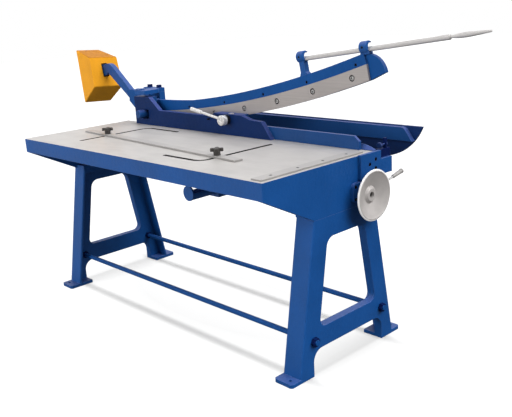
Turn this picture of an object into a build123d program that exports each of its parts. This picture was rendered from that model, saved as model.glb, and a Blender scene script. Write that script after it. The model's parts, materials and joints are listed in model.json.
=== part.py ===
from build123d import *
import os
from math import atan2, cos, degrees, hypot, pi, radians, sin, sqrt, tan

os.makedirs("parts", exist_ok=True)

# Manual bench shear. Millimetres, +X to the handwheel end, +Y to the rear, +Z up.
# The origin lies on the floor, at the centre of the four anchor holes of the stands.

# Table and bed casting
table_length = 1660
table_depth = 622
table_height = 800
table_thickness = 16
apron_height = 65
apron_thickness = 18
cheek_thickness = 25
cheek_depth = 193
cheek_run = 253
rear_wall_thickness = 36
rear_wall_depth = 150
rib_thickness = 14
rib_depth = 50
rib_places = (-640, -235, 40, 560)
bed_flange_thickness = 18
bed_edge_radius = 4

# Stands
stand_setback = 430
stand_width = 92
stand_top_width = 360
stand_foot_width = 572
stand_head_height = 79
leg_width = 76
opening_margin = 84
stand_web = 36
stand_flange = 12
stand_head_plate = 20
crossbar_height = 82
crossbar_clearance = 105
opening_head_radius = 42
opening_floor_radius = 30
arch_radius = 48
leg_edge_radius = 8
leg_edge_share = 0.9
foot_thickness = 15
foot_toe = 50
foot_corner = 12
anchor_hole_diameter = 14
anchor_inset = 24
anchor_setback = 31
stand_bolt_diameter = 12
stand_bolt_length = 36
stand_bolt_flats = 19
stand_bolt_head = 8
stand_bolt_spread = 260
stand_bolt_gap = 13
stand_bolts_per_side = 4

# Tie rods between the stands
tie_rod_diameter = 22
tie_rod_spread = 412
tie_rod_height = 144
tie_nut_flats = 32
tie_nut_height = 16
tie_rod_proud = 5

# Lower blade at the cutting line
lower_blade_thickness = 12
lower_blade_height = 60
lower_blade_start = -512
lower_blade_screw_count = 7
lower_blade_screw_inset = 60
blade_screw_diameter = 10
blade_screw_head = 16.5
blade_screw_socket = 8
blade_head_height = 6
lower_screw_length = 30

# Pivot of the blade beam
pivot_x = -622
pivot_rise = 57
pivot_diameter = 30
pivot_collar_diameter = 42
pivot_proud = 37
pivot_nut_flats = 46
pivot_nut_height = 18
pivot_thread_proud = 4
pivot_collar_edge = 5
bush_wall = 4
running_clearance = 0.05
press_clearance = 0.02
flat_clearance = 0.3
hole_clearance = 0.1
small_edge = 1
socket_share = 0.6

# Blade beam and upper blade, measured from the pivot along the blade's chord
open_angle = 11.2
blade_overlap = 14
blade_start = 120
blade_length = 1314
blade_bow = 39
blade_height = 62
blade_thickness = 10
beam_depth = 104
beam_thickness = 28
beam_hub_radius = 66
beam_hub_thickness = 18
beam_flare = 330
beam_body_reach = 90
nose_radius = 83
nose_reach = 74
nose_drop = 17
nose_step = 14
beam_pocket_depth = 11
beam_rim = 13
beam_pocket_count = 6
beam_pocket_start = 200
blade_screw_pitch = 213.5
blade_screw_count = 6
blade_screw_end = 80
blade_counterbore = 26
adjuster_pitch = 266
adjuster_count = 5
adjuster_end = 51
adjuster_rise = 12
adjuster_diameter = 12
adjuster_sink = 2

# Counterweight and its arm
arm_thickness = 28
arm_hub_top = (-91, 36)
arm_hub_low = (-165, 62)
arm_elbow_top = (-328, 315)
arm_elbow_low = (-364, 272)
arm_elbow_radius = 75
arm_inner_radius = 8
arm_end_rise = 43
arm_end_drop = 21
arm_end_stub = 29
weight_face = (-404, 279)
weight_tilt = -0.5
weight_depth = 132
weight_short_side = 162
weight_long_side = 299
weight_width = 176
weight_rear_draft = 10
weight_side_draft = 4.5
weight_edge = 3
weight_socket_depth = 36
weight_socket_gap = 5
weight_roll = 3.5
weight_bolt_diameter = 12
weight_bolt_flats = 19
weight_bolt_head = 8
weight_bolt_spread = 40
tail_points = ((-130, 140), (-195, 145), (-178, 100), (-183, 87), (-145, 44))
arm_tail_points = ((-150, 140), (-200, 110), (-172, 60))
arm_screw_places = ((-120, 100), (-150, 75), (-95, 20))
arm_screw_depth = 12

# Handle
handle_diameter = 19
handle_tilt = -4.45
outer_eye_inset = 1
outer_eye_stand = 12
eye_spread = 326
eye_diameter = 47
eye_lift = 9
eye_length = 36
eye_edge = 3
eye_mouth_radius = 17
eye_jaw_width = 28
eye_mouth_place = (9, 9.5)
eye_post_length = 28
eye_post_thickness = 24
eye_post_flare = 7
handle_start = 14
handle_overhang = 363
handle_edge = 2
grip_length = 153
grip_diameter = 18
grip_neck_diameter = 10
grip_end_diameter = 8
grip_taper_diameter = 16
grip_tip_diameter = 5
grip_neck_share = 0.05
grip_swell_share = 0.28
grip_taper_share = 0.6
grip_tip_share = 0.97
grip_spigot_diameter = 8
grip_spigot_length = 40
set_screw_diameter = 9
set_screw_angle = 22
set_screw_proud = 0.5

# Pivot bracket and bridge plate
bracket_left = -745
bracket_right = -560
bracket_upper_right = -607
bracket_shoulder = 60
bracket_depth = 170
bracket_block_drop = 30
bracket_thickness = 36
bracket_bolt_inset = 32
bracket_gap = 2.7
bracket_bolt_diameter = 16
bracket_bolt_flats = 24
bracket_bolt_head = 10
screw_hole_depth = 30
bridge_rise = 157
bridge_thickness = 20
bridge_left = -665
bridge_right = -575
bridge_overhang = 14
bridge_corner = 8
bridge_screw_places = (-710, -630)
bridge_screw_flats = 24
bridge_screw_head = 14
bridge_screw_diameter = 14
bridge_screw_length = 60
plug_diameter = 45
plug_height = 8
plug_shank = 20
plug_edge = 1.5
plug_x = -647
plug_inset = 26

# Hold-down
hold_down_front = 53
hold_down_back_gap = 2
hold_down_depth = 23
hold_down_gap = 0.5
hold_down_left = -693
lug_right = -565
lug_height = 143
lug_slope_run = 80
casting_height = 80
casting_right = 308
casting_right_height = 76
casting_right_run = 56
boss_left = -60
boss_right = 122
boss_height = 96
boss_slope = 14
boss_right_run = 56
bar_height = 54
bar_right = 768
bar_chamfer_run = 25
bar_chamfer_drop = 20
bar_depth = 14
ledge_height = 22
ledge_lip = 1.5
toe_steps = ((22, 18), (41, 12), (60, 4))
hold_down_lift = 6
pivot_slot_clearance = 1
pivot_window = 26

# Clamp lever
clamp_x = 32
clamp_rise = 72
clamp_shaft_diameter = 18
clamp_hub_diameter = 46
clamp_hub_length = 43
clamp_hub_edge = 4
clamp_cam_diameter = 28
clamp_cam_throw = 4.24
clamp_cam_phase = 45
clamp_cam_width = 12
link_thickness = 14
link_rim = 8
link_play = 1.8
link_stem_diameter = 16
link_stem_depth = 60
link_room = 2
lever_rise_angle = 9.4
lever_length = 233
lever_rod_diameter = 12
lever_grip_length = 80
lever_grip_diameter = 18
lever_grip_edge = 5
lever_seat = 8
stop_pin_x = -93
stop_pin_rise = 66
stop_pin_diameter = 8
stop_pin_proud = 15
stop_pin_depth = 14
stop_pin_edge = 2

# End guide at the right
guide_thickness = 14
guide_front_reach = 116
guide_rear_reach = 79
guide_top_rise = 2
guide_depth = 94
guide_notch_clearance = 1.5
guide_screw_places = ((-24, -28), (-61, -42), (-25, -62))
guide_screw_head = 15
guide_screw_diameter = 8
guide_screw_length = 24
guide_screw_socket = 6
guide_screw_play = 0.5
notch_drop = 33
shoe_length = 30
shoe_setback = 4
shoe_top_drop = 2
shoe_foot_height = 22
shoe_rear_reach = 92
shoe_gap = 1.7
shoe_upright_setback = 34
shoe_upright_height = 38
shoe_upright_thickness = 8
shoe_upright_width = 14
guide_adjuster_rise = 13
guide_adjuster_diameter = 8
guide_adjuster_tip = 1.1
guide_adjuster_flats = 21
guide_adjuster_head = 8
guide_adjuster_nut_flats = 13
guide_adjuster_nut = 6
guide_adjuster_proud = 3

# Cross shaft, handwheel and lock lever
shaft_setback = 80
shaft_drop = 150
shaft_diameter = 25
flange_width = 143
flange_height = 76
flange_rise = 14
flange_thickness = 14
flange_corner = 20
flange_spigot_diameter = 40
flange_screw_spread = 114
flange_screw_rise = 48
flange_screw_diameter = 8
flange_screw_head = 14
flange_screw_head_height = 8
flange_screw_depth = 20
flange_screw_socket = 6
hanger_x = 98
hanger_thickness = 24
hanger_width = 60
hanger_flange = 12
wheel_diameter = 200
wheel_rim_height = 10
wheel_rim_step = 3
wheel_rim_roll = 2
wheel_rim_reach = 33
wheel_web = 6
wheel_hub_diameter = 54
wheel_hub_length = 18
wheel_hub_edge = 3
wheel_hub_foot = 7
wheel_bore_recess = 12
lock_hub_diameter = 40
lock_hub_length = 10
lock_gap = 1.5
lock_rod_diameter = 9
lock_reach = 233
lock_angle = 11.5
lock_grip_length = 64
lock_grip_diameter = 15
lock_grip_end = 19
lock_grip_edge = 1.5
lock_collar_length = 7
lock_seat = 4

# Back gauge
gauge_setback = 196
gauge_bar_depth = 24
gauge_bar_height = 55
gauge_bar_rise = 3
gauge_bar_length = 1382
gauge_bar_bevel = 40
gauge_bar_corner = 25
gauge_plate_thickness = 10
gauge_plate_length = 1452
gauge_plate_top = 62
gauge_plate_height = 137
gauge_plate_radius = 225
gauge_middle = 165
rail_x = 180
rail_diameter = 63
rail_flat_rise = 2.2
rail_play = 0.35
rail_front_inset = 203
rail_collar_diameter = 65
rail_collar_thickness = 8
rack_module = 4
pinion_teeth = 12
pinion_width = 24
rack_addendum = 3.2
rack_dedendum = 4.2
tooth_play = 1.2
pressure_angle = 20
tooth_root_share = 0.6
tooth_tip_share = 1.6
rack_front_reach = 140
rack_rear_reach = 160
upright_thickness = 24
upright_width = 96
upright_rise = 50
gauge_bolt_diameter = 10
gauge_bolt_flats = 17
gauge_bolt_head = 7
gauge_bolt_rise = 10
gauge_bolt_spread = 62
gauge_bolt_reach = 14
guide_block_width = 76
guide_block_length = 60
guide_block_floor = 9
guide_block_roof = 12
guide_web = 24
guide_flange = 10
front_guide_setback = 202
rear_guide_length = 40

# Table stop bar, its slots and knobs
slot_width = 18
slot_corner_radius = 45
left_slot_x = -507
left_slot_front_inset = 125
left_slot_rear_inset = 114
left_slot_end = -267
right_slot_x = 371
right_slot_rear_inset = 119
right_slot_front_inset = 121
right_slot_end = 145
left_knob_inset = 271
right_knob_inset = 206
stop_bar_left = -703
stop_bar_right = 505
stop_bar_width = 40
stop_bar_thickness = 8
stud_diameter = 10
knob_stem_diameter = 28
knob_stem_height = 16
knob_head_height = 13
knob_head_diameter = 30
knob_lobe_diameter = 17
knob_lobe_reach = 18
knob_lobes = 4
knob_turn = 45
knob_edge = 3
stop_nut_flats = 24
stop_nut_height = 12
stud_tail = 18

# Side gauge strip
side_gauge_left = 762
side_gauge_width = 50
side_gauge_thickness = 6
side_gauge_margin = 15
side_gauge_rear_inset = 62
side_gauge_screw_count = 4
side_gauge_screw_inset = 70
side_gauge_screw_diameter = 6
side_gauge_screw_head = 12
side_gauge_screw_length = 16
side_gauge_screw_socket = 5

# Places that follow from the sizes
top = table_height
half_length = table_length / 2
front_y = -stand_setback
cut_y = front_y + table_depth
bed_rear_y = cut_y - lower_blade_thickness
table_underside = top - table_thickness
stand_height = top - cheek_depth
foot_half = stand_foot_width / 2
leg_slope = (foot_half - stand_top_width / 2) / (stand_height - foot_thickness)
arch_half = foot_half - leg_width
opening_floor = crossbar_clearance + crossbar_height
opening_roof = stand_height - stand_head_height
anchor_y = foot_half + foot_toe - anchor_inset
stand_middle_x = half_length - stand_width / 2
anchor_x = half_length - anchor_setback
pivot_z = top + pivot_rise
beam_front = cut_y + flat_clearance
beam_rear = beam_front + beam_thickness
hub_rear = beam_front + beam_hub_thickness
arm_rear = hub_rear + arm_thickness
arm_middle = (hub_rear + arm_rear) / 2
post_front = arm_rear + bracket_gap
post_rear = post_front + bracket_thickness
hold_front_y = cut_y - hold_down_front
hold_rear_y = cut_y - hold_down_back_gap
bar_front_y = hold_front_y + hold_down_depth
bar_rear_y = bar_front_y + bar_depth
hold_bottom = top + hold_down_gap
clamp_z = top + clamp_rise
shaft_y = bed_rear_y - shaft_setback
shaft_z = top - shaft_drop
pinion_radius = rack_module * pinion_teeth / 2
rack_line = shaft_z - pinion_radius
rail_top = rack_line + rack_addendum
rail_middle_z = rail_top - rail_flat_rise
rail_bottom = rail_middle_z - rail_diameter / 2
rail_front = front_y + rail_front_inset
front_guide_y = shaft_y - front_guide_setback
gauge_front = cut_y + gauge_setback
plate_front = gauge_front + gauge_bar_depth
plate_rear = plate_front + gauge_plate_thickness
upright_rear = plate_rear + upright_thickness
rear_wall_front = bed_rear_y - rear_wall_thickness
link_y = bed_rear_y - rear_wall_thickness / 2
guide_start = cut_y - guide_front_reach
guide_end = cut_y + guide_rear_reach
flange_face = half_length + flange_thickness
flange_z = shaft_z + flange_rise
lock_start = flange_face + lock_gap
wheel_start = lock_start + lock_hub_length + lock_gap
wheel_end = wheel_start + wheel_hub_length
left_slot_front = front_y + left_slot_front_inset
left_slot_rear = cut_y - left_slot_rear_inset
right_slot_rear = cut_y - right_slot_rear_inset
right_slot_front = front_y + right_slot_front_inset
left_knob_y = front_y + left_knob_inset
right_knob_y = front_y + right_knob_inset


def at_y(y):
    """Plane across the machine at depth y: local x is X, local y is Z, and it faces the front."""
    return Plane.XZ.offset(-y)


def beam_plane(y):
    """Plane of the blade beam at depth y: local x runs along the blade's chord from the pivot."""
    tilt = radians(open_angle)
    return Plane(origin=(pivot_x, y, pivot_z), x_dir=(cos(tilt), 0, sin(tilt)), z_dir=(0, -1, 0))


def in_beam(u, w, y):
    """Point of the beam plane in the machine's own frame."""
    tilt = radians(open_angle)
    return (pivot_x + u * cos(tilt) - w * sin(tilt), y, pivot_z + u * sin(tilt) + w * cos(tilt))


def save(part, name):
    """Label one finished piece and write it."""
    part.label = name
    export_step(part, f"parts/{name}.step")


def hex_bolts(planes, shank, length, flats, head):
    """Hex bolts seated on the planes, heads on the side the planes face."""
    with BuildPart() as bolts:
        for plane in planes:
            with BuildSketch(plane):
                RegularPolygon(flats / 2, 6, major_radius=False)
            extrude(amount=head)
            with BuildSketch(plane):
                Circle(shank / 2)
            extrude(amount=-length)
    return bolts.part


def cap_screws(planes, shank, length, head, head_height, socket):
    """Socket head screws seated on the planes."""
    with BuildPart() as screws:
        for plane in planes:
            with BuildSketch(plane):
                Circle(head / 2)
            extrude(amount=head_height)
            with BuildSketch(plane):
                Circle(shank / 2)
            extrude(amount=-length)
            with BuildSketch(plane.offset(head_height)):
                RegularPolygon(socket / 2, 6, major_radius=False)
            extrude(amount=-head_height * socket_share, mode=Mode.SUBTRACT)
    return screws.part


def flush_screws(planes, shank, length, head, head_height, socket):
    """Screws whose flat heads end at the planes, with the shank behind the head."""
    sunk = [plane.offset(-head_height) for plane in planes]
    return cap_screws(sunk, shank, length, head, head_height, socket)


def leg_edge(z):
    """Half width of a stand's outer edge at height z."""
    return stand_top_width / 2 + (stand_height - z) * leg_slope


# Places of repeated features
slot_paths = (
    ((left_slot_x, left_slot_front), (left_slot_x, left_slot_rear), (left_slot_end, left_slot_rear)),
    ((right_slot_x, right_slot_rear), (right_slot_x, right_slot_front), (right_slot_end, right_slot_front)),
)
stand_bolt_step = stand_bolt_spread / (stand_bolts_per_side - 1)
stand_bolt_x = half_length - cheek_thickness - stand_bolt_gap
stand_bolt_spots = [
    (side * stand_bolt_x, stand_bolt_spread / 2 - step * stand_bolt_step)
    for side in (-1, 1)
    for step in range(stand_bolts_per_side)
]
bed_flange_top = stand_height + bed_flange_thickness
lower_blade_length = half_length - lower_blade_start
lower_blade_middle = lower_blade_start + lower_blade_length / 2
lower_screw_step = (lower_blade_length - 2 * lower_blade_screw_inset) / (lower_blade_screw_count - 1)
lower_screw_spots = [
    (lower_blade_start + lower_blade_screw_inset + step * lower_screw_step, top - lower_blade_height / 2)
    for step in range(lower_blade_screw_count)
]
side_gauge_start = front_y + side_gauge_margin
side_gauge_length = cut_y - side_gauge_rear_inset - side_gauge_start
side_gauge_x = side_gauge_left + side_gauge_width / 2
side_gauge_step = (side_gauge_length - 2 * side_gauge_screw_inset) / (side_gauge_screw_count - 1)
side_gauge_spots = [
    (side_gauge_x, side_gauge_start + side_gauge_screw_inset + step * side_gauge_step)
    for step in range(side_gauge_screw_count)
]
bracket_bolt_spots = [
    (x, z)
    for x in (bracket_left + bracket_bolt_inset, bracket_right - bracket_bolt_inset)
    for z in (top - bracket_block_drop - bracket_bolt_inset, top - bracket_depth + bracket_bolt_inset)
]
flange_screw_spots = [
    (shaft_y + side * flange_screw_spread / 2, flange_z + rise * flange_screw_rise / 2)
    for side in (-1, 1)
    for rise in (-1, 1)
]
guide_screw_spots = [(cut_y + y, top + z) for y, z in guide_screw_places]
cam_offset = clamp_cam_throw * cos(radians(clamp_cam_phase))
link_x = clamp_x + cam_offset
link_z = clamp_z + cam_offset

# Bed casting: table plate, apron, rear wall, end cheeks, ribs and stand flanges
with BuildPart() as bed_casting:
    with BuildSketch(Plane.XY.offset(top - table_thickness)):
        with Locations((0, (front_y + bed_rear_y) / 2)):
            Rectangle(table_length, bed_rear_y - front_y)
    extrude(amount=table_thickness)
    with BuildSketch(Plane.XY.offset(top - apron_height)):
        with Locations((0, front_y + apron_thickness / 2)):
            Rectangle(table_length, apron_thickness)
    extrude(amount=apron_height - table_thickness)
    with BuildSketch(Plane.XY.offset(top - rear_wall_depth)):
        with Locations((0, link_y)):
            Rectangle(table_length, rear_wall_thickness)
    extrude(amount=rear_wall_depth - table_thickness)
    for start in (-half_length, half_length - cheek_thickness):
        with BuildSketch(Plane.YZ.offset(start)):
            with BuildLine():
                Polyline(
                    (front_y, top - table_thickness),
                    (bed_rear_y, top - table_thickness),
                    (bed_rear_y, stand_height),
                    (front_y + cheek_run, stand_height),
                    (front_y, top - apron_height),
                    close=True,
                )
            make_face()
        extrude(amount=cheek_thickness)
    with BuildSketch(Plane.XY.offset(stand_height)):
        with Locations((-stand_middle_x, 0), (stand_middle_x, 0)):
            Rectangle(stand_width, stand_top_width)
    extrude(amount=bed_flange_thickness)
    with BuildSketch(Plane.XY.offset(top - table_thickness - rib_depth)):
        with Locations(*[(x, (front_y + rear_wall_front) / 2) for x in rib_places]):
            Rectangle(rib_thickness, rear_wall_front - front_y)
    extrude(amount=rib_depth)
    corner_edges = bed_casting.edges().filter_by(Axis.Z).group_by(Axis.Y)[0]
    fillet(corner_edges, bed_edge_radius)
    for path in slot_paths:
        with BuildSketch(Plane.XY.offset(top - table_thickness)):
            with BuildLine():
                FilletPolyline(*path, radius=slot_corner_radius)
            trace(line_width=slot_width)
            with Locations(path[0], path[-1]):
                Circle(slot_width / 2)
        extrude(amount=table_thickness, mode=Mode.SUBTRACT)
    with BuildSketch(Plane.XY.offset(stand_height)):
        with Locations(*stand_bolt_spots):
            Circle(stand_bolt_diameter / 2 + hole_clearance)
    extrude(amount=bed_flange_thickness, mode=Mode.SUBTRACT)
    with BuildSketch(at_y(bed_rear_y)):
        with Locations(*lower_screw_spots):
            Circle(blade_screw_diameter / 2 + hole_clearance)
        with Locations(*bracket_bolt_spots):
            Circle(bracket_bolt_diameter / 2 + hole_clearance)
    extrude(amount=screw_hole_depth, mode=Mode.SUBTRACT)
    with BuildSketch(Plane.YZ.offset(half_length - cheek_thickness)):
        with Locations((shaft_y, shaft_z)):
            Circle(flange_spigot_diameter / 2 + hole_clearance)
        with Locations(*flange_screw_spots, *guide_screw_spots):
            Circle(guide_screw_diameter / 2 + hole_clearance)
    extrude(amount=cheek_thickness, mode=Mode.SUBTRACT)
    with BuildSketch(Plane.XY.offset(top)):
        with Locations((link_x, link_y)):
            Circle(link_stem_diameter / 2 + hole_clearance)
    extrude(amount=-link_stem_depth, mode=Mode.SUBTRACT)
    with BuildSketch(Plane.XY.offset(top)):
        with Locations(*side_gauge_spots):
            Circle(side_gauge_screw_diameter / 2 + hole_clearance)
    extrude(amount=-table_thickness, mode=Mode.SUBTRACT)
save(bed_casting.part, "bed_casting")


def make_stand(side):
    """Cast A-frame stand, flanged towards the inside; side is +1 at the handwheel end."""
    start = half_length - stand_width if side > 0 else -half_length
    recess_depth = stand_width - stand_web
    recess_start = start if side > 0 else start + stand_web
    recess_top = stand_height - stand_head_plate
    opening_radii = (opening_head_radius, opening_head_radius, opening_floor_radius, opening_floor_radius)
    with BuildPart() as stand:
        with BuildSketch(Plane.YZ.offset(start)):
            with BuildLine():
                Polyline(
                    (-stand_top_width / 2, stand_height),
                    (stand_top_width / 2, stand_height),
                    (foot_half, foot_thickness),
                    (foot_half, 0),
                    (-foot_half, 0),
                    (-foot_half, foot_thickness),
                    close=True,
                )
            make_face()
            with BuildLine():
                FilletPolyline(
                    (-leg_edge(opening_roof) + opening_margin, opening_roof),
                    (leg_edge(opening_roof) - opening_margin, opening_roof),
                    (leg_edge(opening_floor) - opening_margin, opening_floor),
                    (-leg_edge(opening_floor) + opening_margin, opening_floor),
                    radius=opening_radii,
                    close=True,
                )
            make_face(mode=Mode.SUBTRACT)
            with BuildLine():
                FilletPolyline(
                    (-arch_half, 0),
                    (-arch_half, crossbar_clearance),
                    (arch_half, crossbar_clearance),
                    (arch_half, 0),
                    radius=arch_radius,
                )
                Line((arch_half, 0), (-arch_half, 0))
            make_face(mode=Mode.SUBTRACT)
        extrude(amount=stand_width)
        leg_edges = stand.edges().filter_by(lambda edge: edge.length > stand_height * leg_edge_share)
        fillet(leg_edges, leg_edge_radius)
        # Only the outer flanges, the head plate and the feet reach the full width
        with BuildSketch(Plane.YZ.offset(recess_start)):
            with BuildLine():
                Polyline(
                    (-leg_edge(recess_top) + stand_flange, recess_top),
                    (leg_edge(recess_top) - stand_flange, recess_top),
                    (leg_edge(foot_thickness) - stand_flange, foot_thickness),
                    (-leg_edge(foot_thickness) + stand_flange, foot_thickness),
                    close=True,
                )
            make_face()
        extrude(amount=recess_depth, mode=Mode.SUBTRACT)
        # Foot plates with one anchor hole each
        foot_length = foot_half + foot_toe - arch_half
        foot_middle = arch_half + foot_length / 2
        with BuildSketch():
            with Locations((start + stand_width / 2, -foot_middle), (start + stand_width / 2, foot_middle)):
                RectangleRounded(stand_width, foot_length, foot_corner)
        extrude(amount=foot_thickness)
        with BuildSketch():
            with Locations((side * anchor_x, -anchor_y), (side * anchor_x, anchor_y)):
                Circle(anchor_hole_diameter / 2)
        extrude(amount=foot_thickness, mode=Mode.SUBTRACT)
        with BuildSketch(Plane.YZ.offset(start)):
            with Locations((-tie_rod_spread / 2, tie_rod_height), (tie_rod_spread / 2, tie_rod_height)):
                Circle(tie_rod_diameter / 2 + hole_clearance)
        extrude(amount=stand_width, mode=Mode.SUBTRACT)
        with BuildSketch(Plane.XY.offset(stand_height)):
            with Locations(*[spot for spot in stand_bolt_spots if spot[0] * side > 0]):
                Circle(stand_bolt_diameter / 2 + hole_clearance)
        extrude(amount=-(stand_bolt_length - bed_flange_thickness), mode=Mode.SUBTRACT)
    return stand.part


save(make_stand(-1), "left_stand")
save(make_stand(1), "right_stand")

# Tie rods along the machine with nuts on both faces of each stand
tie_rod_length = table_length + 2 * (tie_nut_height + tie_rod_proud)
with BuildPart() as tie_rods:
    with BuildSketch(Plane.YZ.offset(-tie_rod_length / 2)):
        with Locations((-tie_rod_spread / 2, tie_rod_height), (tie_rod_spread / 2, tie_rod_height)):
            Circle(tie_rod_diameter / 2)
    extrude(amount=tie_rod_length)
save(tie_rods.part, "tie_rods")

with BuildPart() as tie_rod_nuts:
    nut_starts = (
        -half_length - tie_nut_height,
        -half_length + stand_web,
        half_length - stand_web - tie_nut_height,
        half_length,
    )
    for start in nut_starts:
        with BuildSketch(Plane.YZ.offset(start)):
            with Locations((-tie_rod_spread / 2, tie_rod_height), (tie_rod_spread / 2, tie_rod_height)):
                RegularPolygon(tie_nut_flats / 2, 6, major_radius=False)
                Circle(tie_rod_diameter / 2 + hole_clearance, mode=Mode.SUBTRACT)
        extrude(amount=tie_nut_height)
save(tie_rod_nuts.part, "tie_rod_nuts")

stand_bolt_planes = [Plane(origin=(x, y, bed_flange_top), z_dir=(0, 0, 1)) for x, y in stand_bolt_spots]
stand_bolts = hex_bolts(
    stand_bolt_planes, stand_bolt_diameter, stand_bolt_length, stand_bolt_flats, stand_bolt_head
)
save(stand_bolts, "stand_bolts")

# Lower blade, flush with the table top at the cutting line
with BuildPart() as lower_blade:
    with BuildSketch(at_y(cut_y)):
        with Locations((lower_blade_middle, top - lower_blade_height / 2)):
            Rectangle(lower_blade_length, lower_blade_height)
    extrude(amount=lower_blade_thickness)
    with BuildSketch(at_y(cut_y)):
        with Locations(*lower_screw_spots):
            Circle(blade_screw_diameter / 2 + hole_clearance)
    extrude(amount=lower_blade_thickness, mode=Mode.SUBTRACT)
    with BuildSketch(at_y(cut_y)):
        with Locations(*lower_screw_spots):
            Circle(blade_screw_head / 2 + hole_clearance)
    extrude(amount=blade_head_height, mode=Mode.SUBTRACT)
save(lower_blade.part, "lower_blade")

rear_facing = (0, 1, 0)
lower_screw_planes = [
    Plane(origin=(x, cut_y - flat_clearance, z), x_dir=(1, 0, 0), z_dir=rear_facing)
    for x, z in lower_screw_spots
]
lower_blade_screws = flush_screws(
    lower_screw_planes,
    blade_screw_diameter,
    lower_screw_length,
    blade_screw_head,
    blade_head_height - flat_clearance,
    blade_screw_socket,
)
save(lower_blade_screws, "lower_blade_screws")

# Side gauge strip along the right table edge
with BuildPart() as side_gauge:
    with BuildSketch(Plane.XY.offset(top)):
        with Locations((side_gauge_x, side_gauge_start + side_gauge_length / 2)):
            Rectangle(side_gauge_width, side_gauge_length)
    extrude(amount=side_gauge_thickness)
    chamfer(side_gauge.faces().sort_by(Axis.Z)[-1].edges(), small_edge)
    with BuildSketch(Plane.XY.offset(top)):
        with Locations(*side_gauge_spots):
            Circle(side_gauge_screw_diameter / 2 + hole_clearance)
    extrude(amount=side_gauge_thickness, mode=Mode.SUBTRACT)
    with BuildSketch(Plane.XY.offset(top + side_gauge_thickness)):
        with Locations(*side_gauge_spots):
            Circle(side_gauge_screw_head / 2 + hole_clearance)
    extrude(amount=-side_gauge_thickness / 2, mode=Mode.SUBTRACT)
save(side_gauge.part, "side_gauge")

side_gauge_planes = [
    Plane(origin=(x, y, top + side_gauge_thickness), z_dir=(0, 0, 1)) for x, y in side_gauge_spots
]
side_gauge_screws = flush_screws(
    side_gauge_planes,
    side_gauge_screw_diameter,
    side_gauge_screw_length,
    side_gauge_screw_head,
    side_gauge_thickness / 2,
    side_gauge_screw_socket,
)
save(side_gauge_screws, "side_gauge_screws")

# Pivot bracket behind the beam, bolted to the rear wall of the bed
with BuildPart() as pivot_bracket:
    with BuildSketch(at_y(post_rear)):
        with BuildLine():
            Polyline(
                (bracket_left, top - bracket_depth),
                (bracket_right, top - bracket_depth),
                (bracket_right, top + bracket_shoulder),
                (bracket_upper_right, top + bracket_shoulder + bracket_right - bracket_upper_right),
                (bracket_upper_right, top + bridge_rise),
                (bracket_left, top + bridge_rise),
                close=True,
            )
        make_face()
    extrude(amount=bracket_thickness)
    with BuildSketch(at_y(post_rear)):
        with Locations(((bracket_left + bracket_right) / 2, top - (bracket_depth + bracket_block_drop) / 2)):
            Rectangle(bracket_right - bracket_left, bracket_depth - bracket_block_drop)
    extrude(amount=post_rear - bed_rear_y)
    with BuildSketch(at_y(post_rear)):
        with Locations((pivot_x, pivot_z)):
            Circle(pivot_diameter / 2 + press_clearance)
    extrude(amount=bracket_thickness, mode=Mode.SUBTRACT)
    with BuildSketch(at_y(post_rear)):
        with Locations(*bracket_bolt_spots):
            Circle(bracket_bolt_diameter / 2 + hole_clearance)
    extrude(amount=post_rear - bed_rear_y, mode=Mode.SUBTRACT)
    with BuildSketch(Plane.XY.offset(top + bridge_rise)):
        with Locations(*[(x, (post_front + post_rear) / 2) for x in bridge_screw_places]):
            Circle(bridge_screw_diameter / 2 + hole_clearance)
    extrude(amount=-(bridge_screw_length - bridge_thickness), mode=Mode.SUBTRACT)
save(pivot_bracket.part, "pivot_bracket")

bracket_bolt_planes = [
    Plane(origin=(x, post_rear, z), x_dir=(1, 0, 0), z_dir=rear_facing) for x, z in bracket_bolt_spots
]
bracket_bolt_length = post_rear - bed_rear_y + screw_hole_depth
pivot_bracket_bolts = hex_bolts(
    bracket_bolt_planes, bracket_bolt_diameter, bracket_bolt_length, bracket_bolt_flats, bracket_bolt_head
)
save(pivot_bracket_bolts, "pivot_bracket_bolts")

# Bridge plate from the bracket forward over the hold-down lug
bridge_front = hold_front_y - bridge_overhang
with BuildPart() as bridge_plate:
    with BuildSketch(Plane.XY.offset(top + bridge_rise)):
        with BuildLine():
            Polyline(
                (bridge_left, bridge_front),
                (bridge_right, bridge_front),
                (bridge_right, hub_rear),
                (bracket_upper_right, post_front),
                (bracket_upper_right, post_rear),
                (bracket_left, post_rear),
                (bracket_left, post_front),
                (bridge_left, post_front),
                close=True,
            )
        make_face()
        with Locations((plug_x, bridge_front + plug_inset)):
            Circle(plug_shank / 2 + hole_clearance, mode=Mode.SUBTRACT)
        with Locations(*[(x, (post_front + post_rear) / 2) for x in bridge_screw_places]):
            Circle(bridge_screw_diameter / 2 + hole_clearance, mode=Mode.SUBTRACT)
    extrude(amount=bridge_thickness)
    front_corners = bridge_plate.edges().filter_by(Axis.Z).group_by(Axis.Y)[0]
    fillet(front_corners, bridge_corner)
save(bridge_plate.part, "bridge_plate")

bridge_top = top + bridge_rise + bridge_thickness
bridge_screw_planes = [
    Plane(origin=(x, (post_front + post_rear) / 2, bridge_top), z_dir=(0, 0, 1)) for x in bridge_screw_places
]
bridge_screws = hex_bolts(
    bridge_screw_planes, bridge_screw_diameter, bridge_screw_length, bridge_screw_flats, bridge_screw_head
)
save(bridge_screws, "bridge_screws")

with BuildPart() as bridge_plug:
    with BuildSketch(Plane.XY.offset(bridge_top)):
        with Locations((plug_x, bridge_front + plug_inset)):
            Circle(plug_diameter / 2)
    extrude(amount=plug_height)
    chamfer(bridge_plug.faces().sort_by(Axis.Z)[-1].edges(), plug_edge)
    with BuildSketch(Plane.XY.offset(bridge_top)):
        with Locations((plug_x, bridge_front + plug_inset)):
            Circle(plug_shank / 2)
    extrude(amount=-bridge_thickness)
save(bridge_plug.part, "bridge_plug")

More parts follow.
